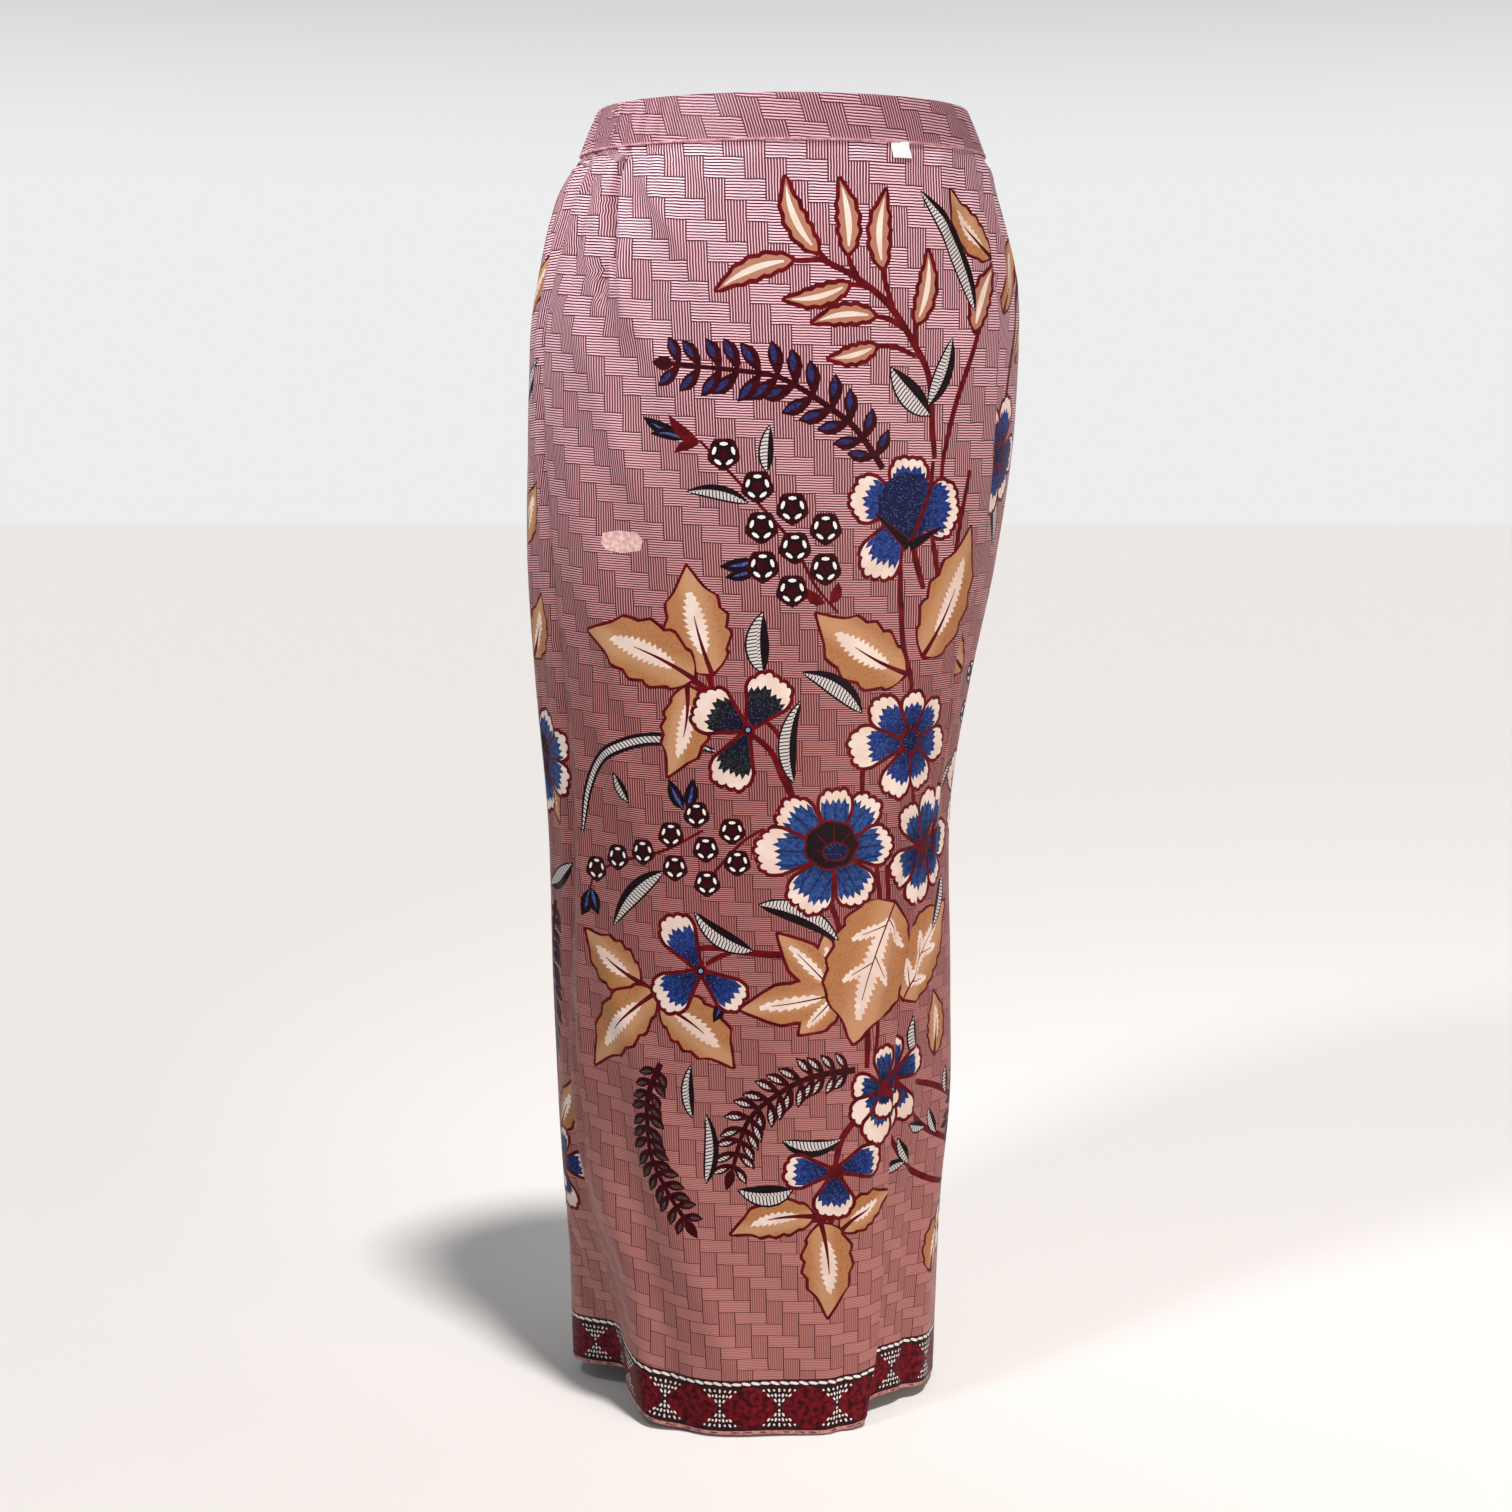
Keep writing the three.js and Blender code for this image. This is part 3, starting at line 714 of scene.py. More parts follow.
    def petal(self, centre, aim, spread, reach, inner, ink):
        """A fan-shaped petal: a dark outline, a scalloped cream rim and a jagged inner part."""
        bumps = max(3, round(spread * DEGREE * reach / SCALLOP))
        t = np.linspace(0, bumps, bumps * 5 + 1)
        scallop = 1 - 0.05 * (1 - np.abs(np.sin(np.pi * t)) ** 0.7) + 0.02 * np.sin(2.1 * t + aim)
        rim = fan(centre, aim, spread, 1.5, reach, scallop)
        self.add(swollen(rim, PETAL_OUTLINE), "maroon")
        self.add(rim, "cream")
        teeth = max(4, round(spread * DEGREE * reach * inner / INNER_TOOTH))
        k = np.arange(2 * teeth + 1)
        jagged = 1.04 - np.where(k % 2, 0, 0.11 + 0.03 * np.sin(k * 1.7)) + 0.03 * np.sin(k * 0.9 + aim)
        jagged = jagged * (1 + 0.16 * np.abs(np.linspace(-1, 1, len(k))) ** 3)
        inner = min(inner * INNER_SHARE, INNER_MOST)
        core = fan(centre, aim, spread * 0.99, 1.0, reach * inner, jagged)
        self.add(core, ink, centre, centre + heading(aim * DEGREE) * reach, reach)

    def heart(self, kind, centre, size):
        """The middle of a bloom."""
        if kind == "cup":
            self.disc(centre, 25 * size, "dotted", 40, wave=0.03, waves=11)
            for side, drop in ((-26, 12), (30, 22)):
                stroke = centre + np.array([(side * size, drop * size - 6), (2, 30 * size)])
                self.add(ribbon(stroke, (1.0, 5.2)), "maroon")
                self.add(ribbon(stroke, (0.5, 4.0)), "black")
            self.stem(centre + np.array([(20, -34), (17, -8), (4, 26)]), 4.0)
        elif kind == "eye":
            self.disc(centre, 10.5 * size, "maroon", 20, wave=0.08, waves=5)
            self.disc(centre, 7.6 * size, "dotted", 14)
        elif kind == "dark":
            for radius, ink in ((22, "maroon"), (20, "black")):
                self.disc(centre + (-2, -5), radius * size, ink, 28, squash=0.86, wave=0.05, waves=7)
            for k in range(7):
                end = centre + (0, -5) + heading(k * 0.9 + 0.2) * (17, 14)
                self.add(ribbon(np.array([centre, end]), (0.5, 0.35)), "maroon")
            self.disc(centre + (1, 0), 11 * size, "maroon", 16, squash=0.7)
            self.disc(centre + (1, 0), 9.6 * size, "dotted", 14, squash=0.66)
        elif kind == "ring":
            for radius, ink, count in ((5.2, "maroon", 12), (3.2, "black", 10), (1.7, "pale_blue", 8)):
                self.disc(centre, radius * size, ink, count)
        else:
            self.disc(centre, 6.5 * size, "maroon", 15, wave=0.24, waves=5)

    def bloom(self, kind, ink, heart, centre, size, turn):
        centre = np.array(centre)
        petals = next(row["petals"] for row in PETALS if row["kind"] == kind)
        for aim, spread, reach, percent in petals:
            self.petal(centre, aim + turn, spread, reach * size, percent / 100, ink)
        self.heart(heart, centre, size)


# ---------------------------------------------------------------- the bouquet, in mm of flat cloth

STEMS = table("""
    stem       width  points
    main       5.4    46,86 74,100 100,120 121,149 133,172 136,204 138,232
    top_a      4.2    45,80 52,88 60,94
    top_b      4.2    68,82 70,90 78,104
    top_c      4.2    95,92 97,104 103,121
    top_d      4.2    26,88 36,88 48,87
    side_a     4.2    68,105 84,107 98,116
    side_b     4.2    88,128 100,130 113,138
    side_c     4.2    89,150 104,150 122,157
    side_d     4.2    122,132 121,142 124,158
    right      4.9    198,84 187,113 173,151 156,193 147,229 146,250
    right_low  4.4    174,241 165,279 159,312
    stalk_a    4.6    111,293 113,342 116,373 123,399 122,414
    stalk_b    5.4    122,297 126,312 132,330
    stalk_c    4.7    139,292 142,306 144,320
    berry_up   2.6    -42,219 -20,242 4,268 28,296 44,326 62,347
    up_left_a  4.7    -36,386 -35,394 -33,404
    up_left_b  4.7    -62,388 -46,398 -33,406
    up_left_c  4.2    -58,410 -46,404 -33,406
    lm_a       4.7    -6,435 11,450 19,468 30,492
    lm_b       3.9    4,424 18,440 22,464 30,490
    b_left     4.4    84,454 83,470 83,488
    b_down     4.7    128,470 130,486 134,502
    c_left     4.7    50,545 57,566 64,586 66,612
    c_mid      4.4    95,540 97,556 99,572
    c_right    4.4    104,540 105,556 107,572
    berry_low  2.6    -40,510 -70,526 -104,536 -132,548 -139,562
    berry_in   2.6    -37,548 -12,520 6,508
    e_stem     5.4    -44,600 -28,599 -8,602 18,604 44,602 62,606
    e_low      4.2    -38,612 -28,606 -18,602
    t_stem     4.4    -96,624 -80,634 -60,634
    down_a     4.4    86,650 87,672 86,694
    down_b     4.4    96,652 96,668 93,684
    between    5.4    78,732 66,748 61,768
    leaf_in    4.2    60,756 56,750 44,748
    under_a    4.4    61,800 54,808 40,809
    under_b    4.4    60,800 58,810 52,822
    under_c    4.4    62,800 68,812 78,818
    arc_a      5.4    206,718 240,728 272,744
    arc_b      5.4    196,736 224,758 264,776
    arc_c      5.4    176,752 201,783 235,802 276,812
    side_e     5.4    262,60 268,110 258,160 250,205
    side_f     5.4    300,330 284,400 270,462 276,540
    side_g     5.4    290,560 290,620 286,690
""")

FERNS = table("""
    fern   pairs  length  width  core   points
    upper  12     26      9.6    navy   96,240 85,224 72,208 53,194 33,181 14,172 -13,168 -62,163
    lower  14     17      6.4    shade  -74,690 -84,719 -84,756 -72,782 -54,809
    arch   14     20      6.4    hatch  77,695 44,698 18,710 -6,732 -18,769
    side   17     19      5.6    navy   300,612 292,660 284,710 262,762
""")

LEAVES = table("""
    kind   base      tip       width  bow
    tan    45,81     22,29     14     0.1
    tan    68,82     62,30     14     -0.06
    tan    95,92     98,37     14     0.08
    tan    26,88     -28,109   14     -0.08
    tan    68,105    22,116    12     0.08
    tan    88,128    43,133    12     -0.08
    tan    89,150    55,159    11     0.06
    tan    122,132   132,80    13     -0.08
    tan    197,80    157,33    26     0.1
    tan    174,136   199,88    17     0.06
    tan    118,394   46,348    46     0.06
    tan    133,381   177,285   46     -0.06
    tan    236,396   204,350   28     0.1
    tan    -33,392   -52,313   46     0.04
    tan    -47,396   -135,362  44     -0.05
    tan    -52,402   -67,469   34     0.08
    tan    -91,629   -142,594  34     0.06
    tan    -78,636   -137,700  38     -0.06
    tan    -74,644   -18,690   38     0.08
    lobed  64,636    -11,646   60     0
    broad  186,650   246,582   50     0.06
    broad  112,570   76,674    72     -0.04
    tan    233,700   228,651   24     -0.08
    tan    44,806    -18,819   26     -0.08
    tan    66,818    112,796   24     0.08
    tan    50,812    55,884    38     0.05
    tan    240,120   266,60    24     0.06
    tan    270,156   302,108   22     -0.06
    tan    300,332   318,286   26     0.06
    tan    300,420   322,372   28     -0.06
    tan    290,500   314,548   26     0.06
    tan    284,800   312,756   26     -0.06
    tan    246,880   262,830   30     0.06
    hatch  174,121   128,36    15     -0.07
    hatch  134,200   102,166   18     0.05
    hatch  133,192   153,144   13     -0.05
    hatch  8,242     10,209    9      0.05
    hatch  -7,265    -51,257   9      -0.08
    hatch  5,391     5,347     16     0.1
    hatch  81,422    36,392    14     -0.1
    hatch  28,473    33,414    12     0.12
    hatch  -72,543   -114,586  13     -0.08
    hatch  -3,601    -46,573   13     0.1
    hatch  3,566     63,594    14     0.1
    hatch  -49,729   -50,691   8      0.08
    hatch  -38,779   -38,728   9      -0.08
    hatch  21,747    65,748    11     -0.14
    hatch  27,785    -13,785   15     0.12
    hatch  252,735   252,714   8      0.05
    hatch  240,765   228,744   8      0.05
    hatch  224,758   200,752   8      0.05
    hatch  204,784   190,762   8      0.05
    hatch  198,782   176,788   8      -0.05
    hatch  -100,490  -112,470  8      0.05
    hatch  240,250   262,300   13     0.06
    hatch  292,600   326,580   14     -0.06
    hatch  206,700   196,666   10     0.1
    hatch  240,560   224,600   10     0.06
    hatch  278,230   312,190   13     0.06
    plain  0,308     -26,312   9      0.05
    plain  0,314     -22,320   8      0.05
    plain  -55,494   -66,473   9      0.05
    plain  -52,494   -48,472   9      -0.05
    plain  -139,562  -146,582  10     0.05
    plain  -137,562  -130,580  10     -0.05
    plain  -56,214   -86,202   8      0.08
    plain  -54,218   -80,214   7      -0.08
    sepal  -42,220   -66,200   9      0.1
    sepal  -42,221   -62,228   8      -0.1
    plain  -26,640   -32,655   7      0.05
    sepal  52,340    36,328    9      0.1
    sepal  56,340    62,324    9      -0.1
""")

# Two long curved leaves, from root to tip.
CURVED_LEAVES = table("""
    leaf   width  points
    left   9      -31,450 -60,443 -92,444 -124,458 -139,482 -145,518
    right  9      262,462 236,480 214,512 208,548
""")

# Petals round each kind of bloom, in painter's order. Each is where it points and its full spread,
# in degrees, its reach, and how far its inner part goes, in hundredths of that.
PETALS = table("""
    kind    petals
    cup     120,42,60,68 -90,66,36,70 190,58,46,66 4,78,45,74
    wheel   -85,42,37,66 -40,40,42,68 8,44,44,62 62,46,40,66 112,44,44,64 176,46,52,60 -135,44,44,66
    full    -50,38,51,72 -88,42,47,74 -138,42,54,72 -5,46,48,70 182,44,60,64 122,54,50,70 58,54,46,72
    small   -128,46,40,62 -78,40,44,66 -2,60,36,66 58,40,38,64 100,38,45,62 150,54,41,62
    wing    112,54,46,66 -60,60,45,64 -152,62,44,62
    moth    38,46,40,70 142,58,42,68 -122,44,47,66
    ruffle  -93,46,32,72 190,48,29,66 -25,42,36,64 142,46,35,52 60,42,37,60 104,50,42,58 94,70,22,50
    fly     182,46,39,72 -14,46,39,72 92,68,35,66
""")

BLOOMS = table("""
    kind    ink     heart  centre   size  turn
    small   dotted  eye    250,229  1     0
    cup     dotted  cup    117,268  1     0
    wing    dark    ring   -6,434   1     0
    small   streak  knot   146,530  1     0
    small   streak  knot   209,530  1     0
    wheel   dotted  eye    124,446  1     0
    full    streak  dark   60,527   1     0
    moth    dotted  ring   -42,617  1     0
    ruffle  streak  knot   104,712  1     0
    ruffle  streak  knot   179,712  1     0
    fly     dotted  knot   61,772   1     0
    full    streak  dark   292,500  0.9   30
    ruffle  dotted  knot   284,830  1     20
""")

BERRIES = table("""
    radius  centres
    12      -24,229 1,253 27,269 4,283 52,284 29,298 5,312 52,314 27,330
    10      -45,498 -18,510 -65,514 -38,524 -88,528 -111,534 -132,545 -62,539 -14,534
    10      -37,550 262,400 282,418 262,432 284,444
""")


def draw_bouquet(cloth):
    for row in STEMS:
        cloth.stem(row["points"], row["width"])
    for row in FERNS:
        cloth.fern(row["points"], int(row["pairs"]), row["length"], row["width"], row["core"])
    for row in CURVED_LEAVES:
        line = spline(row["points"])
        half = leaf_width(np.linspace(0.02, 0.98, len(line)), row["width"])
        cloth.add(ribbon(line, half + 0.9), "black")
        cloth.add(ribbon(line, half * 0.55), "hatch", row["points"][0], row["points"][-1], row["width"])
    for row in LEAVES:
        draw = getattr(cloth, row["kind"] + "_leaf")
        draw(row["base"], row["tip"], row["width"], row["bow"])
    for row in BERRIES:
        for centre in row["centres"]:
            cloth.berry(np.array(centre), row["radius"])
    for row in BLOOMS:
        cloth.bloom(**row)


# ---------------------------------------------------------------- the border along the hem

BORDER_HEIGHT = 43
BORDER_PITCH = 46  # from oval to oval
SELVEDGE = 2.8
ROPE_DROP = 3.0
OVAL_TOP = 5.0  # from the border's top edge to the ovals'
STRIP_STEP = 4.0  # from point to point along an edge, so that it follows the form
FAN_RAYS = 7
FAN_STEPS = (5.0, 9.0, 13.0)


def draw_border(cloth, left, right):
    """A black border with pointed ovals in a row, fans of dashes between them and a rope edge."""
    bottom = PANEL_LENGTH
    top = bottom - BORDER_HEIGHT
    oval_height = BORDER_HEIGHT - OVAL_TOP - SELVEDGE - 0.6
    middle = top + OVAL_TOP + oval_height / 2

    def dash(u, v, turn, length, width, ink="white"):
        way = heading(turn) * length / 2
        side = np.array([-way[1], way[0]]) / length * width
        at = np.array([u, v])
        ends = [at - way, at - way * 0.5 - side, at + way * 0.5 - side, at + way]
        cloth.add(np.array(ends + [at + way * 0.5 + side, at - way * 0.5 + side]), ink)

    def strip(start, end, ink):
        u = np.arange(left - 30, right + 30, STRIP_STEP)
        top_edge, low_edge = [np.stack([u, np.full(len(u), v)], axis=1) for v in (start, end)]
        cloth.add(np.vstack([top_edge, low_edge[::-1]]), ink)

    strip(top, bottom + 9, "border")
    for k in range(int((right - left) / 7.4)):
        dash(left + 7.4 * k, top + ROPE_DROP, 0.2 + 0.1 * math.sin(2.2 * k), 8.2, 2.2)
    for k in range(int((right - left) / BORDER_PITCH) + 2):
        u = left - 12 + BORDER_PITCH * k
        shape = {"widest": 0.5, "blunt": 0.55, "teeth": 3, "jag": 0.05}
        cloth.leaf((u + 2, middle), (u + BORDER_PITCH - 2, middle), oval_height - 1.5, "red", **shape)
        for sign in (-1, 1):
            dash(u, middle + sign * 2.3, 0, 1.9, 1.9)
            for ray in range(FAN_RAYS):
                lean = (ray - (FAN_RAYS - 1) / 2) / (FAN_RAYS - 1) * 2
                for step, down in enumerate(FAN_STEPS):
                    if step == 0 and ray % 2 == 0:
                        continue
                    across = lean * down * 0.92
                    aim = math.atan2(sign * down, across)
                    size = 3.3 if (ray + step) % 2 else 2.0
                    dash(u + across, middle + sign * (down + 0.6), aim, size, 1.5)
    strip(bottom - SELVEDGE, bottom + 9, "selvedge")
    for k in range(int((right - left) / 13)):
        dash(left + 13 * k + 3 * math.sin(k * 1.9), bottom - SELVEDGE * 0.5, 0.05, 6.5, 0.9, "maroon")


# ---------------------------------------------------------------- materials


class Signal:
    """A shader value that adds, subtracts, multiplies and divides as a number does."""

    def __init__(self, nodes, socket):
        self.nodes, self.socket = nodes, socket

    def __add__(self, other):
        return self.nodes.math("ADD", self, other)

    def __sub__(self, other):
        return self.nodes.math("SUBTRACT", self, other)

    def __rsub__(self, other):
        return self.nodes.math("SUBTRACT", other, self)

    def __mul__(self, other):
        return self.nodes.math("MULTIPLY", self, other)

    def __truediv__(self, other):
        return self.nodes.math("DIVIDE", self, other)

    __radd__ = __add__
    __rmul__ = __mul__


def srgb(colour):
    """A linear colour from display values out of 255."""
    parts = [c / 255 for c in colour]
    return [c / 12.92 if c <= 0.04045 else ((c + 0.055) / 1.055) ** 2.4 for c in parts] + [1.0]


class Nodes:
    """Short names for the shader nodes that the cloth's inks share. Colours are display values."""

    def __init__(self, name):
        self.material = bpy.data.materials.new(name)
        self.material.use_nodes = True
        self.tree = self.material.node_tree
        self.shader = self.tree.nodes["Principled BSDF"]

    def put(self, socket, value):
        if isinstance(value, Signal):
            self.tree.links.new(value.socket, socket)
        else:
            socket.default_value = srgb(value) if isinstance(value, tuple) else value

    def put_all(self, node, inputs):
        for key, value in inputs.items():
            self.put(node.inputs[key.replace("_", " ")], value)

    def made(self, kind, out, settings, places, values):
        node = self.tree.nodes.new(kind)
        for key, value in settings.items():
            setattr(node, key, value)
        for place, value in zip(places, values):
            self.put(node.inputs[place], value)
        return Signal(self, node.outputs[out])

    def node(self, kind, **inputs):
        node = self.tree.nodes.new(kind)
        self.put_all(node, inputs)
        return Signal(self, node.outputs[0])

    def math(self, operation, *values):
        return self.made("ShaderNodeMath", 0, {"operation": operation}, (0, 1, 2), values)

    def mix(self, share, a, b):
        return self.made("ShaderNodeMix", 2, {"data_type": "RGBA"}, (0, 6, 7), (share, a, b))

    def step(self, value, start, end):
        """Rises smoothly from 0 at start to 1 at end."""
        smoothly = {"interpolation_type": "SMOOTHSTEP"}
        return self.made("ShaderNodeMapRange", 0, smoothly, range(5), (value, start, end, 0.0, 1.0))

    def noise(self, vector, scale, detail=2.0):
        return self.node("ShaderNodeTexNoise", Vector=vector, Scale=scale, Detail=detail)

    def clouds(self, scale):
        """Soft patches on the cloth, from 0 to 1."""
        return self.step(self.noise(self.uv("cloth")[2], scale, 3.0), 0.35, 0.65)

    def dots(self, scale, radius):
        """Round dots scattered evenly over the cloth, 1 inside a dot."""
        away = self.node("ShaderNodeTexVoronoi", Vector=self.uv("cloth")[2], Scale=scale, Randomness=0.7)
        return self.step(away, radius + 0.06, radius - 0.04)

    def uv(self, name):
        both = self.made("ShaderNodeUVMap", 0, {"uv_map": name}, (), ())
        parts = self.node("ShaderNodeSeparateXYZ", Vector=both).socket.node
        return Signal(self, parts.outputs[0]), Signal(self, parts.outputs[1]), both


CELL_U = 15.5
CELL_V = 16.0
LINES = 7  # dark lines in a block
LYING_LINE = 0.25  # how far the gap between lines reaches, in a lying block and in a standing one
STANDING_LINE = 0.18
BLOCK_LINE = 0.55
FAR_AWAY = 99.0  # stands for an end that a block doesn't have
SAG = 0.00015  # the rows of blocks dip towards SAG_LEVEL, as the cloth hangs
SAG_LEVEL = 130.0
NARROWER = 0.3  # how much closer the blocks stand at the hem, across
FLATTER = 0.42  # and downwards
LINE_SHAKE = 1.3
SATIN = 0.12  # gloss of the paler ground
INK_GLOSS = 0.05


def wobbled(n):
    """Cloth coordinates in mm, with the slight shake of a drawn line."""
    u, v, both = n.uv("cloth")
    aside, down = u - SAG_LEVEL, v * (1 / PANEL_LENGTH)
    sag = aside * aside * SAG
    u = aside * (1.0 + down * NARROWER) + (n.noise(both, 0.07) - 0.5) * LINE_SHAKE
    v = v * (1.0 + down * FLATTER) + sag + (n.noise(both, 0.11) - 0.5) * LINE_SHAKE
    return u, v


def woven_ground(n):
    """Stripes in blocks that lie and stand by turns, like plaited strips."""
    u, v = wobbled(n)
    _, flat_v, both = n.uv("cloth")
    cell_u, cell_v = u / CELL_U, v / CELL_V
    i, j = n.math("FLOOR", cell_u), n.math("FLOOR", cell_v)
    share_u, share_v = cell_u - i, cell_v - j
    turn = n.math("FLOORED_MODULO", i - j, 4.0)
    lying = n.math("LESS_THAN", turn, 1.5)

    def lines(share, thin):
        wave = n.math("ABSOLUTE", n.math("FRACT", share * float(LINES)) - 0.5)
        return n.step(wave, thin - 0.05, thin + 0.05)

    def picked(a, b):
        return lying * a + (1.0 - lying) * b

    def near(share, size):
        return n.math("MINIMUM", share, 1.0 - share) * size

    def only(case, share, size):
        return share * size + (1.0 - n.math("COMPARE", turn, case, 0.4)) * FAR_AWAY

    ends_u = n.math("MINIMUM", only(0.0, share_u, CELL_U), only(1.0, 1.0 - share_u, CELL_U))
    ends_v = n.math("MINIMUM", only(3.0, share_v, CELL_V), only(2.0, 1.0 - share_v, CELL_V))
    sides = picked(near(share_v, CELL_V), near(share_u, CELL_U))
    edge = n.math("MINIMUM", sides, n.math("MINIMUM", ends_u, ends_v))
    outline = n.step(edge, BLOCK_LINE + 0.25, BLOCK_LINE - 0.1)

    stripe = picked(lines(share_v, LYING_LINE), lines(share_u, STANDING_LINE))
    patchy = n.step(n.noise(both, 0.02, 3.0), 0.3, 0.6)
    strength = picked(1.0, 0.8) * (0.4 + n.step(flat_v, 940.0, 420.0) * 0.6) * (0.8 + patchy * 0.2)

    # Down the cloth the ground is much paler over the hips, darkest in the middle and a little paler again
    # at the hem. This is mostly painted highlight at the top and painted shade lower down, for how the light
    # falls, and partly real fading of the dye.
    down, lower = n.step(flat_v, 0.0, 480.0), n.step(flat_v, 520.0, 900.0)
    base = n.mix(lower, n.mix(down, (142, 88, 96), (129, 74, 74)), (148, 93, 89))
    pale = n.mix(lower, n.mix(down, (232, 188, 200), (171, 113, 111)), (192, 137, 131))
    dark = n.mix(down, (46, 6, 18), (56, 13, 20))
    tone = n.mix(lying, n.mix(0.08, base, dark), n.mix(0.14, base, pale))
    return n.mix(outline * 0.8, n.mix(strength, tone, n.mix(stripe, pale, dark)), dark)


def cloth_finish(n, colour, gloss=INK_GLOSS):
    """Dye that took unevenly, a fine weave and a soft sheen, which the deep inks lose."""
    u, v, both = n.uv("cloth")
    shade = 0.8 + n.noise(both, 0.012, 4.0) * 0.24 + n.noise(both, 1.4, 2.0) * 0.08
    weave = n.math("SINE", u * 9.0) * n.math("SINE", v * 9.0)
    look = {
        "Base_Color": n.mix(shade, (0, 0, 0), colour),
        "Normal": n.node("ShaderNodeBump", Strength=0.12, Distance=0.0002, Height=weave),
        "Roughness": 0.38 + n.noise(both, 0.05, 3.0) * 0.14,
        "Sheen_Weight": 0.01,
        "Sheen_Roughness": 0.4,
        "Specular_IOR_Level": gloss,
    }
    n.put_all(n.shader, look)
    return n.material


def plain_ink(name, colour, other=None, scale=None):
    n = Nodes(name)
    return cloth_finish(n, n.mix(n.clouds(scale), colour, other) if other else colour)


def tan_ink():
    n = Nodes("leaf_tan")
    _, across, _ = n.uv("motif")
    pale = n.step(n.math("ABSOLUTE", across), 0.7, 0.1) * 0.3
    body = n.mix(n.dots(0.62, 0.26), (152, 104, 68), (112, 72, 44))
    return cloth_finish(n, n.mix(pale, body, (196, 164, 134)))


def brown_ink():
    n = Nodes("leaf_brown")
    return cloth_finish(n, n.mix(n.dots(0.8, 0.2), (150, 104, 84), (118, 74, 60)))


def hatch_ink():
    n = Nodes("leaf_hatch")
    along, across, _ = n.uv("motif")
    wave = n.math("ABSOLUTE", n.math("FRACT", (along + across * 1.2) / 2.7) - 0.5)
    return cloth_finish(n, n.mix(n.step(wave, 0.22, 0.12), (186, 180, 180), (16, 10, 16)))


def petal_ink(name, deep, light, mark, dotted):
    """A petal's inner part, darker to its root, streaked from there or set with dots."""
    n = Nodes(name)
    along, across, _ = n.uv("motif")
    body = n.mix(n.clouds(0.3), deep, light)
    if not dotted:
        rays = n.step(n.math("ABSOLUTE", n.math("SINE", across * 9.0)), 0.45, 0.15)
        body = n.mix(rays * 0.7, body, (14, 18, 56))
    body = n.mix(n.step(along, 32.0, 5.0) * 0.85, body, (12, 12, 40))
    return cloth_finish(n, n.mix(n.dots(0.7, 0.25 if dotted else 0.16) * 0.6, body, mark))


# Each plain ink's material, its colour, and a second colour in clouds of a scale.
PLAIN_INKS = {
    "maroon": ("line_maroon", (92, 10, 18), (66, 6, 14), 0.1),
    "wine": ("line_wine", (54, 5, 12), (34, 4, 10), 0.2),
    "black": ("ink_black", (14, 9, 14), (26, 10, 16), 0.2),
    "navy": ("ink_navy", (22, 26, 66), (40, 46, 92), 0.5),
    "shade": ("ink_shade", (44, 36, 40), (74, 62, 62), 0.5),
    "blue": ("ink_blue", (34, 44, 104), (70, 84, 140), 0.4),
    "pale_blue": ("ink_pale_blue", (112, 132, 176)),
    "stain": ("stain_pale", (204, 174, 168), (176, 138, 136), 0.3),
    "white": ("resist_white", (216, 206, 202)),
    "cream": ("resist_cream", (208, 193, 184), (196, 176, 164), 0.04),
    "border": ("border_black", (30, 20, 26), (48, 22, 28), 0.1),
    "red": ("border_red", (104, 18, 28), (48, 9, 17), 0.22),
    "selvedge": ("selvedge_rose", (186, 134, 126), (150, 92, 92), 0.3),
}


def build_inks():
    ground = Nodes("batik_ground")
    inks = {"ground": cloth_finish(ground, woven_ground(ground), SATIN)}
    inks["tan"] = tan_ink()
    inks["brown"] = brown_ink()
    inks["hatch"] = hatch_ink()
    inks["dotted"] = petal_ink("petal_dotted", (18, 34, 88), (30, 54, 116), (92, 116, 170), True)
    inks["streak"] = petal_ink("petal_streaked", (20, 44, 96), (40, 70, 124), (104, 128, 172), False)
    inks["dark"] = petal_ink("petal_dark", (12, 14, 18), (28, 32, 36), (96, 102, 100), True)
    return inks | {ink: plain_ink(*look) for ink, look in PLAIN_INKS.items()}


# ---------------------------------------------------------------- printed panels as meshes


def ahead(loop):
    """The same loop, running the way that a face's corners do, with v down."""
    return loop if signed_area(loop) < 0 else loop[::-1]


SAME_POINT = 1e-4  # points nearer than this are one
SMALL_MARK = 25.0  # mm2; marks below this don't show on the reverse
FACE_STEP = 5.2  # between points on a panel's face, and on its reverse
REVERSE_STEP = 8.0
BORDER_STEPS = 100  # along a panel's top and bottom edge
# Rows of closer points under the back's elastic: where they start and end, and their spacing.
GATHERED_ROWS = [(v, 2.8) for v in np.arange(2.5, 60, 3.8)]
# Closer points where the front's folds are narrow: low and high u, low and high v, and spacing.
CLOSE_POINTS = (
    (-160, -142, 1.5, 150, 2.6),
    (-141, -94, 1.5, 124, 1.5),
    (-92, -50, 1.5, 150, 2.6),
    (-50, 150, 1.5, 60, 3.6),
)
STAIN = [(-121, 288), (-108, 286), (-92, 288), (-87, 293), (-89, 301), (-104, 303), (-117, 301), (-122, 296)]
BACK_SHIFT = (-23, -34)  # the back's bouquet against the front's, as far as its own panel goes


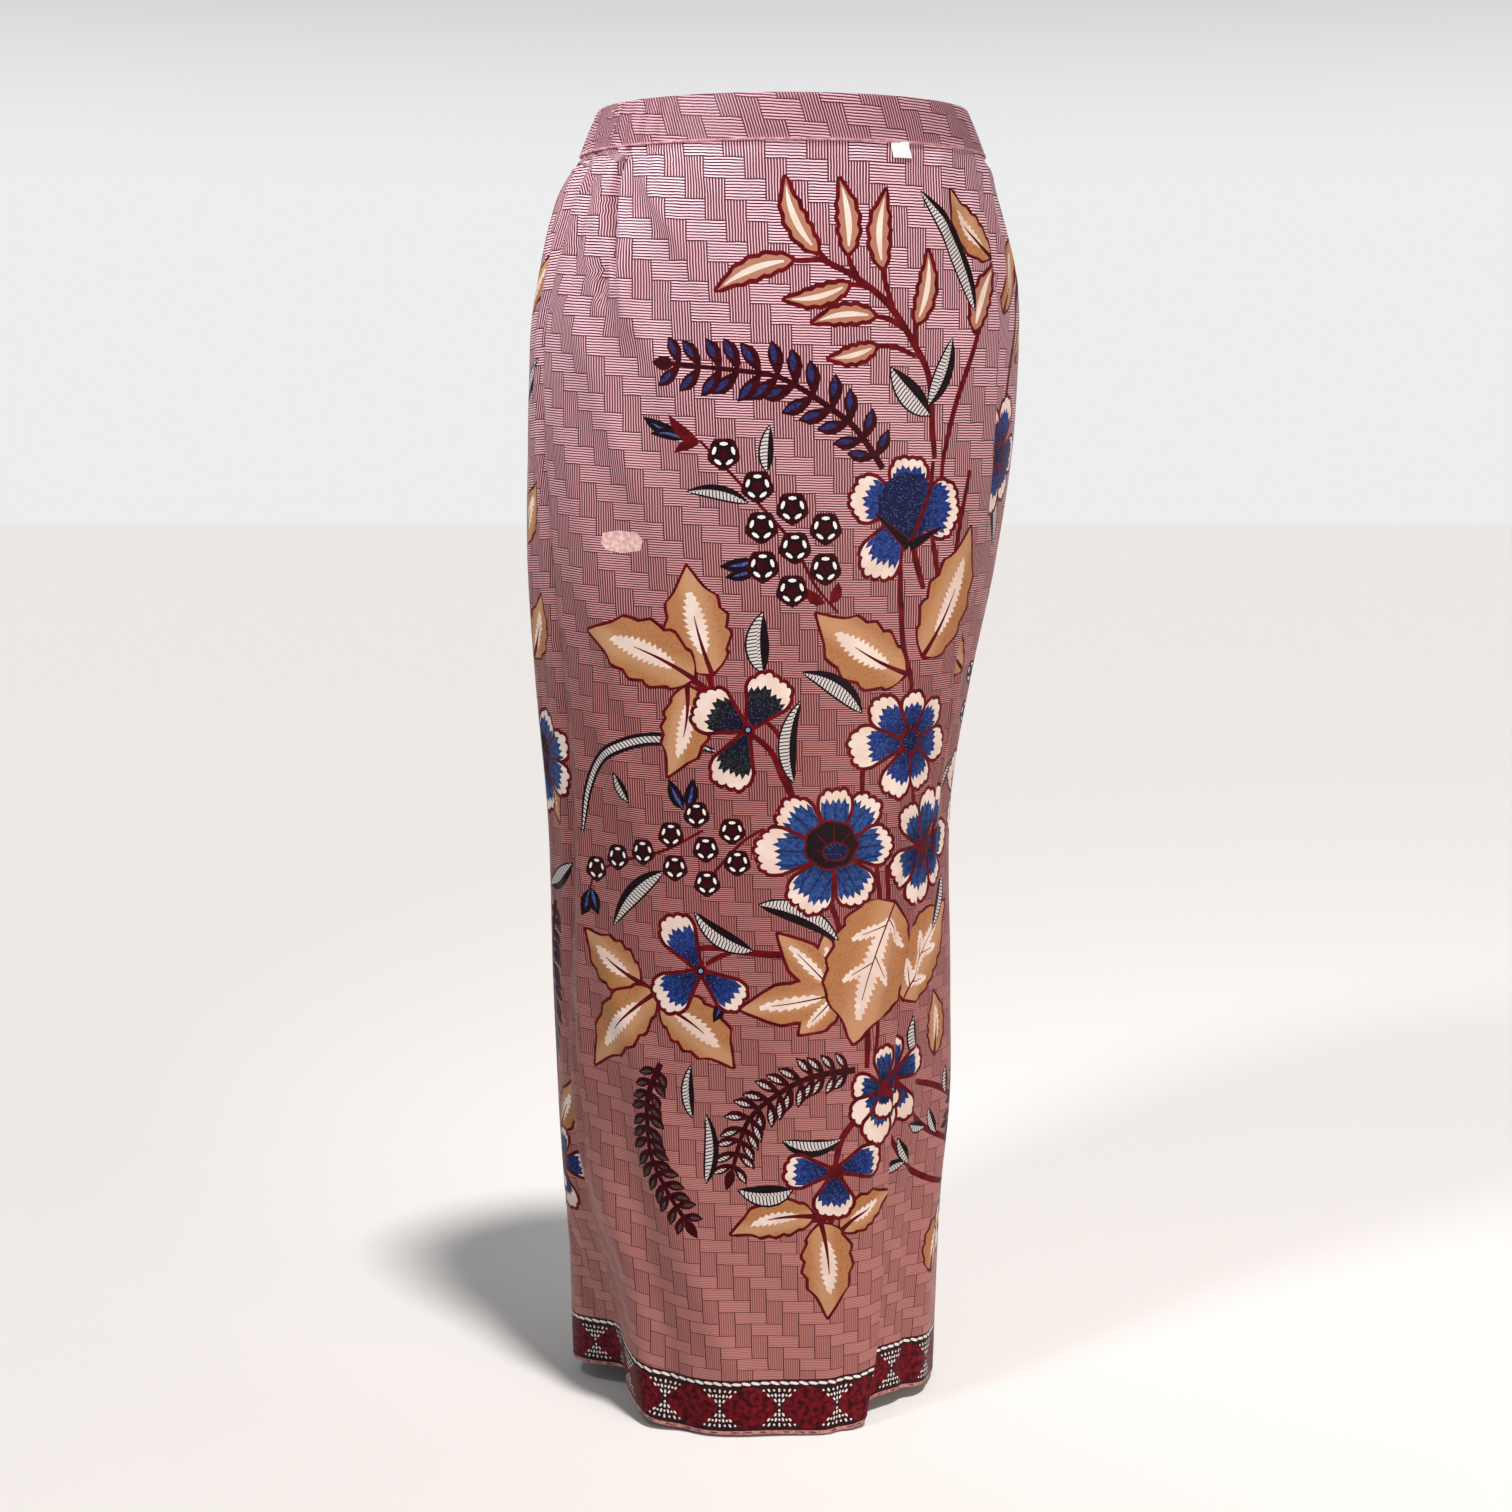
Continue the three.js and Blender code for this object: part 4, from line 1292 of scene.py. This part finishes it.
def cut_flat(outline, grid, lines, shapes):
    """Triangles of the flat cloth, cut along every shape, and the topmost shape of each."""
    verts, faces, edges = [], [], []
    for loop in [outline] + [shape["points"] for shape in shapes]:
        loop = ahead(np.asarray(loop))
        faces.append(list(range(len(verts), len(verts) + len(loop))))
        verts.extend(loop)
    for line in lines:
        edges.extend((len(verts) + k, len(verts) + k + 1) for k in range(len(line) - 1))
        verts.extend(line)
    verts.extend(grid)
    flipped = [Vector((float(p[0]), -float(p[1]))) for p in verts]
    out = delaunay_2d_cdt(flipped, edges, faces, 0, SAME_POINT, True)
    points = np.array([(p.x, -p.y) for p in out[0]])
    triangles, tops = [], []
    for corners, origin in zip(out[2], out[5]):
        if 0 in origin and len(corners) == 3:
            triangles.append(corners)
            tops.append(max(origin))
    return points, np.array(triangles), np.array(tops)


def finish_mesh(name, points, normals, faces, inks, slots, uvs):
    """A mesh object in metres, with its own smooth normals, ink slots and corner coordinates."""
    mesh = bpy.data.meshes.new(name)
    mesh.from_pydata((points * MM).tolist(), [], faces)
    for ink in inks:
        mesh.materials.append(ink)
    mesh.polygons.foreach_set("material_index", slots)
    mesh.polygons.foreach_set("use_smooth", np.ones(len(faces), bool))
    for uv_name, values in uvs.items():
        layer = mesh.uv_layers.new(name=uv_name)
        layer.uv.foreach_set("vector", np.asarray(values, np.float32).ravel())
    mesh.validate()
    if normals is not None:
        mesh.normals_split_custom_set_from_vertices(normals.tolist())
    made = bpy.data.objects.new(name, mesh)
    bpy.context.collection.objects.link(made)
    return made


def rim_edges(triangles):
    """Edges that belong to one triangle only, in the direction that the triangle runs."""
    directed = np.vstack([triangles[:, [0, 1]], triangles[:, [1, 2]], triangles[:, [2, 0]]])
    known = {(a, b) for a, b in directed.tolist()}
    return [(a, b) for a, b in known if (b, a) not in known]


def rows_of_points(drape, rows):
    """Evenly spread points inside a panel; rows gives each row's v and its spacing."""
    grid = []
    for v, spacing in rows:
        left, right = drape.left(v), drape.right(v)
        count = int((right - left) / spacing)
        at = mix(left, right, (np.arange(count) + 0.5) / count)
        grid.extend(np.stack([at, np.full(count, v)], axis=1))
    return grid


def trimmed(points, triangles):
    used = np.unique(triangles)
    renumber = np.full(len(points), -1)
    renumber[used] = np.arange(len(used))
    return points[used], renumber[triangles]


def sheet_side(drape, outline, rows, lines, shapes, spots=()):
    """One side of the cloth: its flat points and triangles, and each triangle's shape or -1."""
    grid = rows_of_points(drape, rows)
    points, triangles, tops = cut_flat(outline, grid + list(spots), lines, shapes)
    points, triangles = trimmed(points, triangles)
    return points, triangles, tops - 1


def corner_maps(points, triangles, tops, shapes):
    """Each corner's place on the cloth, and along and across the motif that it is in."""
    base = np.array([s["base"] for s in shapes] + [(0, 0)])[tops][:, None]
    tip = np.array([s["tip"] for s in shapes] + [(1, 0)])[tops][:, None]
    half = np.array([s["half"] for s in shapes] + [1])[tops][:, None]
    run = (tip - base) / np.linalg.norm(tip - base, axis=-1, keepdims=True)
    away = points[triangles] - base
    along = (away * run).sum(-1)
    across = (away[..., 0] * run[..., 1] - away[..., 1] * run[..., 0]) / half
    return points[triangles].reshape(-1, 2), np.stack([along, across], -1).reshape(-1, 2)


def rim_loop(triangles):
    """The vertices of the rim in order."""
    following = dict(rim_edges(triangles))
    start = next(iter(following))
    loop = [start]
    while following[loop[-1]] != start:
        loop.append(following[loop[-1]])
    return loop


def even_rows(start, spacing):
    return [(v, spacing) for v in np.arange(start, PANEL_LENGTH - 2, spacing)]


def close_points(low, high, top, bottom, spacing):
    u, v = np.meshgrid(np.arange(low, high, spacing), np.arange(top, bottom, spacing))
    v = v + spacing / 2 * (np.arange(u.shape[1]) % 2)
    return list(np.stack([u.ravel(), v.ravel()], axis=1))


def panel(name, drape, cloth, inks, lines, rows, back_rows, spots=()):
    """One printed panel: a thin closed shell, printed through to its reverse."""
    v = drape.v
    across = np.linspace(0, 1, BORDER_STEPS)[1:-1]
    top, low = [
        np.stack([mix(drape.u[row, 0], drape.u[row, -1], across), np.full(len(across), v[row])], axis=1)
        for row in (0, -1)
    ]
    left, right = np.stack([drape.u[:, 0], v], axis=1), np.stack([drape.u[:, -1], v], axis=1)
    outline = np.vstack([left, low, right[::-1], top[::-1]])
    points, triangles, tops = sheet_side(drape, outline, rows, lines, cloth.shapes, spots)
    rim = rim_loop(triangles)

    bold = [s for s in cloth.shapes if abs(signed_area(s["points"])) > SMALL_MARK]
    bold_points, bold_triangles, bold_tops = sheet_side(drape, points[rim], back_rows, lines[::2], bold)
    order = list(inks)
    slots, maps, motifs = [], [], []
    for flat, faces, marks, shapes in (
        (points, triangles, tops, cloth.shapes),
        (bold_points, bold_triangles[:, ::-1], bold_tops, bold),
    ):
        of_shape = np.array([order.index(s["ink"]) for s in shapes] + [order.index("ground")])
        slots.append(of_shape[marks])
        place, motif = corner_maps(flat, faces, marks, shapes)
        maps.append(place)
        motifs.append(motif)

    face, normal = drape.place(points[:, 0], points[:, 1])
    reverse, reverse_normal = drape.place(bold_points[:, 0], bold_points[:, 1])
    reverse = reverse - reverse_normal * CLOTH
    count = len(points)

    twin = rim_loop(bold_triangles)
    first = np.linalg.norm(bold_points[twin] - points[rim[0]], axis=1).argmin()
    twin = twin[first:] + twin[:first]
    here, there = np.array(rim), np.array(twin) + count
    after, there_after = np.roll(here, -1), np.roll(there, -1)
    edge = np.stack([after, here, there, there_after], axis=1)
    faces = triangles.tolist() + (bold_triangles[:, ::-1] + count).tolist() + edge.tolist()
    maps.append(points[np.stack([after, here, here, after], axis=1)].reshape(-1, 2))
    motifs.append(np.zeros((len(edge) * 4, 2)))
    slots.append(np.full(len(edge), order.index("ground")))
    return finish_mesh(
        name,
        np.vstack([face, reverse]),
        np.vstack([normal, -reverse_normal]),
        faces,
        inks.values(),
        np.concatenate(slots),
        {"cloth": np.vstack(maps), "motif": np.vstack(motifs)},
    )


inks = build_inks()
front_drape = Drape(front_form, CAMERA_X, True)
back_drape = Drape(back_form, CAMERA_X, False)
pleat_rows = range(0, len(front_drape.v), 2)
pleat_lines = [
    [(front_drape.u[row, k], front_drape.v[row]) for row in pleat_rows]
    for k in range(BEFORE_PLEAT, BEFORE_PLEAT + len(PLEAT_PATH))
]

front_print = Print()
front_print.add(STAIN, "stain")
draw_bouquet(front_print)
draw_border(front_print, -200, 350)
front_panel = panel(
    "skirt_front",
    front_drape,
    front_print,
    inks,
    pleat_lines,
    even_rows(3, FACE_STEP),
    even_rows(4, REVERSE_STEP),
    [point for part in CLOSE_POINTS for point in close_points(*part)],
)

back_print = Print(BACK_SHIFT)
draw_bouquet(back_print)
back_print.shift = np.zeros(2)
draw_border(back_print, -232, 322)
back_panel = panel(
    "skirt_back",
    back_drape,
    back_print,
    inks,
    [],
    GATHERED_ROWS + even_rows(63, FACE_STEP),
    GATHERED_ROWS + even_rows(64, REVERSE_STEP),
)


# ---------------------------------------------------------------- waistbands and label


PULLED_END = 0.12  # share of the front band that the elastic pulls
FOLD_STRIP = 1.8  # the folded lower edge that shows as a paler strip
COVER = 1.2  # the fold hangs this far over the panel's edge
TURNED_EDGE = 1.5  # cloth between a ring's last point and its first
FRONT_BAND_STEP = 3.0  # between stations of the flat band, and of the ruched one
BACK_BAND_STEP = 1.1
PULL_HEIGHT = 1.3
STITCH_ROWS = 3  # rows of elastic stitching, which hold the ruches lower
LABEL_ANGLE = 33
LABEL_WIDTH = 14.6
LABEL_HEIGHT = 11.5
LABEL_ROWS = 14
LABEL_LAYERS = 0.75  # from the label's inner face to its outer one
LABEL_FOLD = (0.38, 0.35)  # the folded edge: its depth, and how far it hangs below the last row


def closed_loop(name, rings, material_of, materials, uvs):
    """A closed piece through rings of points, capped at both ends.

    rings is stations x profile points x 3, and uvs is stations x profile points x 2."""
    stations, around = rings.shape[:2]
    uvs = np.concatenate([uvs, uvs[:, -1:] + [0, TURNED_EDGE]], axis=1)
    faces, slots, corners = [], [], []
    for s in range(stations - 1):
        for p in range(around):
            here, q = s * around, (p + 1) % around
            faces.append((here + p, here + q, here + around + q, here + around + p))
            slots.append(material_of[p])
            corners.extend([uvs[s, p], uvs[s, p + 1], uvs[s + 1, p + 1], uvs[s + 1, p]])
    for s, step in ((0, -1), (stations - 1, 1)):
        faces.append([s * around + p for p in range(around)][::step])
        slots.append(0)
        corners.extend(uvs[s, :around][::step])
    maps = {"cloth": np.array(corners)}
    return finish_mesh(name, rings.reshape(-1, 3), None, faces, materials, slots, maps)


def band_profile():
    """Outer face from the top down, then the inner face up: rise, height and slot."""
    rows = [(-0.5, 0.0, 0), (0.4, -0.3, 0), (0.95, -1.3, 0)]
    for z in np.linspace(-3, -BAND_HEIGHT + FOLD_STRIP, 12):
        rows.append((1.0 + 0.35 * math.sin(math.pi * z / -BAND_HEIGHT), z, 0))
    low = -BAND_HEIGHT - COVER
    rows[-1] = (0.75, low + FOLD_STRIP, 1)
    rows += [(1.25, low + FOLD_STRIP - 0.5, 1), (1.4, low + 1.4, 1), (1.1, low + 0.2, 1), (0.2, low, 1)]
    rows += [(-0.6, low + 0.3, 0), (-0.95, low + 1.2, 0)]
    rows += [(-1.0, z, 0) for z in np.linspace(low + 4, -3, 8)]
    return rows + [(-0.9, -0.8, 0)]


def waistband(name, start, end, step, shape, materials):
    """A band from angle start to end; shape gives the extra rise at a share of it and a height."""
    rows = band_profile()
    middle_z = -BAND_HEIGHT / 2
    half_gap = GAP / 2 / mm_per_degree(start, middle_z)
    count = int((end - start) * mm_per_degree((start + end) / 2, middle_z) / step)
    share = np.linspace(0, 1, count)
    angle = mix(start + half_gap, end - half_gap, share)
    rings, flats = [], []
    for rise, z, _ in rows:
        out = shape(share, z, rise)
        ring = on_section(angle, np.full(count, z), rise + out)
        rings.append(ring)
        along = np.concatenate([[0], np.cumsum(np.hypot(*np.diff(ring[:, :2], axis=0).T))])
        middle = np.interp((start + end) / 2, angle, along)
        flats.append(np.stack([along - middle, np.full(count, 4.0 - z)], axis=1))
    rings = np.stack(rings, axis=1)
    flats = np.stack(flats, axis=1)
    return closed_loop(name, rings, [row[2] for row in rows], materials, flats)


def flat_shape(share, z, rise):
    """Barely waved, with the pull of the elastic at its left end."""
    wave = np.sin(share * 61) * 0.25 + np.sin(share * 23 + 1.3) * 0.35
    pulled = np.exp(-((share / PULLED_END) ** 2)) * smooth(share * 60)
    ruche = PULL_HEIGHT * np.sin(190 * share + 0.05 * z) * pulled
    return (wave * math.sin(math.pi * z / -BAND_HEIGHT) + ruche) * (1 if rise > 0 else 0.4)


def ruched_shape(share, z, rise):
    """Ruches between the elastic's rows of stitches, deepest at the free edges."""
    at = RUCHES * share + 0.3 * np.sin(9 * share + z * 0.03) + 0.16 * np.sin(31 * share - z * 0.08)
    crest = np.sin(np.pi * (at % 1)) ** 2 * 2 - 1
    rows = 0.62 + 0.38 * math.cos(2 * math.pi * (z / BAND_HEIGHT + 0.5) * STITCH_ROWS) ** 2
    ends = smooth(share * 60) * smooth((1 - share) * 60)
    size = RUCHE_HEIGHT * (0.75 + 0.25 * np.sin(np.floor(at) * 1.9)) * rows
    return size * crest * ends * (1.0 if rise > 0 else 0.45)


def band_inks():
    n = Nodes("band_ground")
    # The band takes the ground's colours from the top of their scale, painted highlight included, and
    # darkens them.
    ground = cloth_finish(n, n.mix(0.42, woven_ground(n), (86, 36, 46)), SATIN)
    strip = plain_ink("band_fold", (182, 134, 140), (152, 102, 108), 0.2)
    return [ground, strip]


def label_tab(material):
    """A blank folded tab that hangs from the seam under the band."""
    share = np.linspace(0, 1, LABEL_ROWS)
    z = PANEL_TOP - share * LABEL_HEIGHT
    around = 2 * LABEL_ROWS + 1
    rings, flats = [], []
    for x in np.linspace(-0.5, 0.5, 15) * LABEL_WIDTH:
        angle = LABEL_ANGLE + x / mm_per_degree(LABEL_ANGLE, PANEL_TOP)
        inner = 0.6 + folds_at(FRONT_FOLDS, LABEL_ANGLE, z) + 0.5 * share**2 + 0.25 * np.sin(x * 0.35)
        front = on_section(np.full(LABEL_ROWS, angle), z, inner + LABEL_LAYERS)
        back = on_section(np.full(LABEL_ROWS, angle), z, inner)
        fold = on_section(np.array([angle]), z[-1:] - LABEL_FOLD[1], inner[-1:] + LABEL_FOLD[0])
        rings.append(np.vstack([front, fold, back[::-1]]))
        flats.append(np.stack([np.full(around, x), np.linspace(0, 25, around)], axis=1))
    return closed_loop("skirt_label", np.array(rings), [0] * around, [material], np.array(flats))


bands = band_inks()
front_band = waistband("waistband_front", BAND_LEFT, BAND_RIGHT, FRONT_BAND_STEP, flat_shape, bands)
back_end = BAND_LEFT + FULL_TURN
back_band = waistband("waistband_back", BAND_RIGHT, back_end, BACK_BAND_STEP, ruched_shape, bands)
label_white = plain_ink("label_white", (240, 239, 236), (226, 225, 222), 0.8)
label = label_tab(label_white)

# ---------------------------------------------------------------- floor, light and camera

FLOOR_Z = -1.0125
FLOOR_SIZE = 60.0
FLOOR_GREY = 0.86
HORIZON_LIGHT = 0.85  # the sky's strength below and above this band of heights
SKY_LIGHT = 0.2
SKY_BAND = (0.1, 0.3)
MIDDLE = (0, 0, -0.4)
SUN = {"energy": 2.65, "angle": 0.12, "color": (1.0, 0.94, 0.9)}
SUN_PLACE = (0.8, -1.7, 4.0)
LAMPS = table("""
    name  place            target         size  power  spread  colour
    key   -0.8,-0.95,0.75  -0.12,0,0.05   0.25  3      60      1,1,1
    fill  1.1,-1.3,-0.6    0.05,0,-0.95   0.6   12.5   180     1,0.8,0.7
""")


def floor():
    mesh = bpy.data.meshes.new("floor")
    half = FLOOR_SIZE / 2
    corners = [(-half, -half), (half, -half), (half, half), (-half, half)]
    mesh.from_pydata([(x, y, FLOOR_Z) for x, y in corners], [], [(0, 1, 2, 3)])
    made = bpy.data.objects.new("floor", mesh)
    bpy.context.collection.objects.link(made)
    paint = Nodes("floor_pale")
    paint.shader.inputs["Base Color"].default_value = (FLOOR_GREY, FLOOR_GREY, FLOOR_GREY, 1)
    paint.put_all(paint.shader, {"Roughness": 0.9, "Specular_IOR_Level": 0.1})
    mesh.materials.append(paint.material)


def aimed(name, data, place, target):
    lamp = bpy.data.objects.new(name, data)
    lamp.location = place
    lamp.rotation_euler = (Vector(target) - Vector(place)).to_track_quat("-Z", "Y").to_euler()
    bpy.context.collection.objects.link(lamp)


def studio():
    world = bpy.data.worlds.new("studio")
    bpy.context.scene.world = world
    world.use_nodes = True
    nodes, links = world.node_tree.nodes, world.node_tree.links
    nodes["Background"].inputs[0].default_value = (1, 1, 1, 1)
    place = nodes.new("ShaderNodeTexCoord")
    parts = nodes.new("ShaderNodeSeparateXYZ")
    height = nodes.new("ShaderNodeMapRange")
    height.interpolation_type = "SMOOTHSTEP"
    for socket, level in zip(height.inputs[1:5], (*SKY_BAND, HORIZON_LIGHT, SKY_LIGHT)):
        socket.default_value = level
    links.new(place.outputs["Generated"], parts.inputs[0])
    links.new(parts.outputs[2], height.inputs[0])
    links.new(height.outputs[0], nodes["Background"].inputs[1])
    sun = bpy.data.lights.new("sun", "SUN")
    for key, setting in SUN.items():
        setattr(sun, key, setting)
    aimed("sun", sun, SUN_PLACE, MIDDLE)
    for row in LAMPS:
        lamp = bpy.data.lights.new(row["name"], "AREA")
        lamp.size, lamp.energy, lamp.color = row["size"], row["power"], row["colour"]
        lamp.spread = row["spread"] * DEGREE
        aimed(row["name"], lamp, row["place"], row["target"])


CAMERA_PLACE = (-0.021, -2.060, -0.270)
CAMERA_DOWN = 6.43  # degrees below level
FOCAL_PIXELS = 2600
IMAGE_PIXELS = 1512
SENSOR = 36.0


def camera():
    data = bpy.data.cameras.new("camera")
    data.sensor_width = SENSOR
    data.lens = FOCAL_PIXELS / IMAGE_PIXELS * SENSOR
    made = bpy.data.objects.new("camera", data)
    made.location = CAMERA_PLACE
    made.rotation_euler = ((90 - CAMERA_DOWN) * DEGREE, 0, 0)
    bpy.context.collection.objects.link(made)
    bpy.context.scene.camera = made


floor()
studio()
camera()
bpy.context.scene.view_settings.view_transform = "Standard"

# ---------------------------------------------------------------- each piece hangs from the root, in place of the frame's own part

for piece, node, slot in (
    (front_panel, "front_panel", "batik_cloth"),
    (back_panel, "back_panel", "batik_cloth"),
    (front_band, "front_waistband", "band_cloth"),
    (back_band, "back_waistband", "band_cloth"),
    (label, "label_tab", "label_weave"),
):
    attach(piece, "root")
    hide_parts(node)
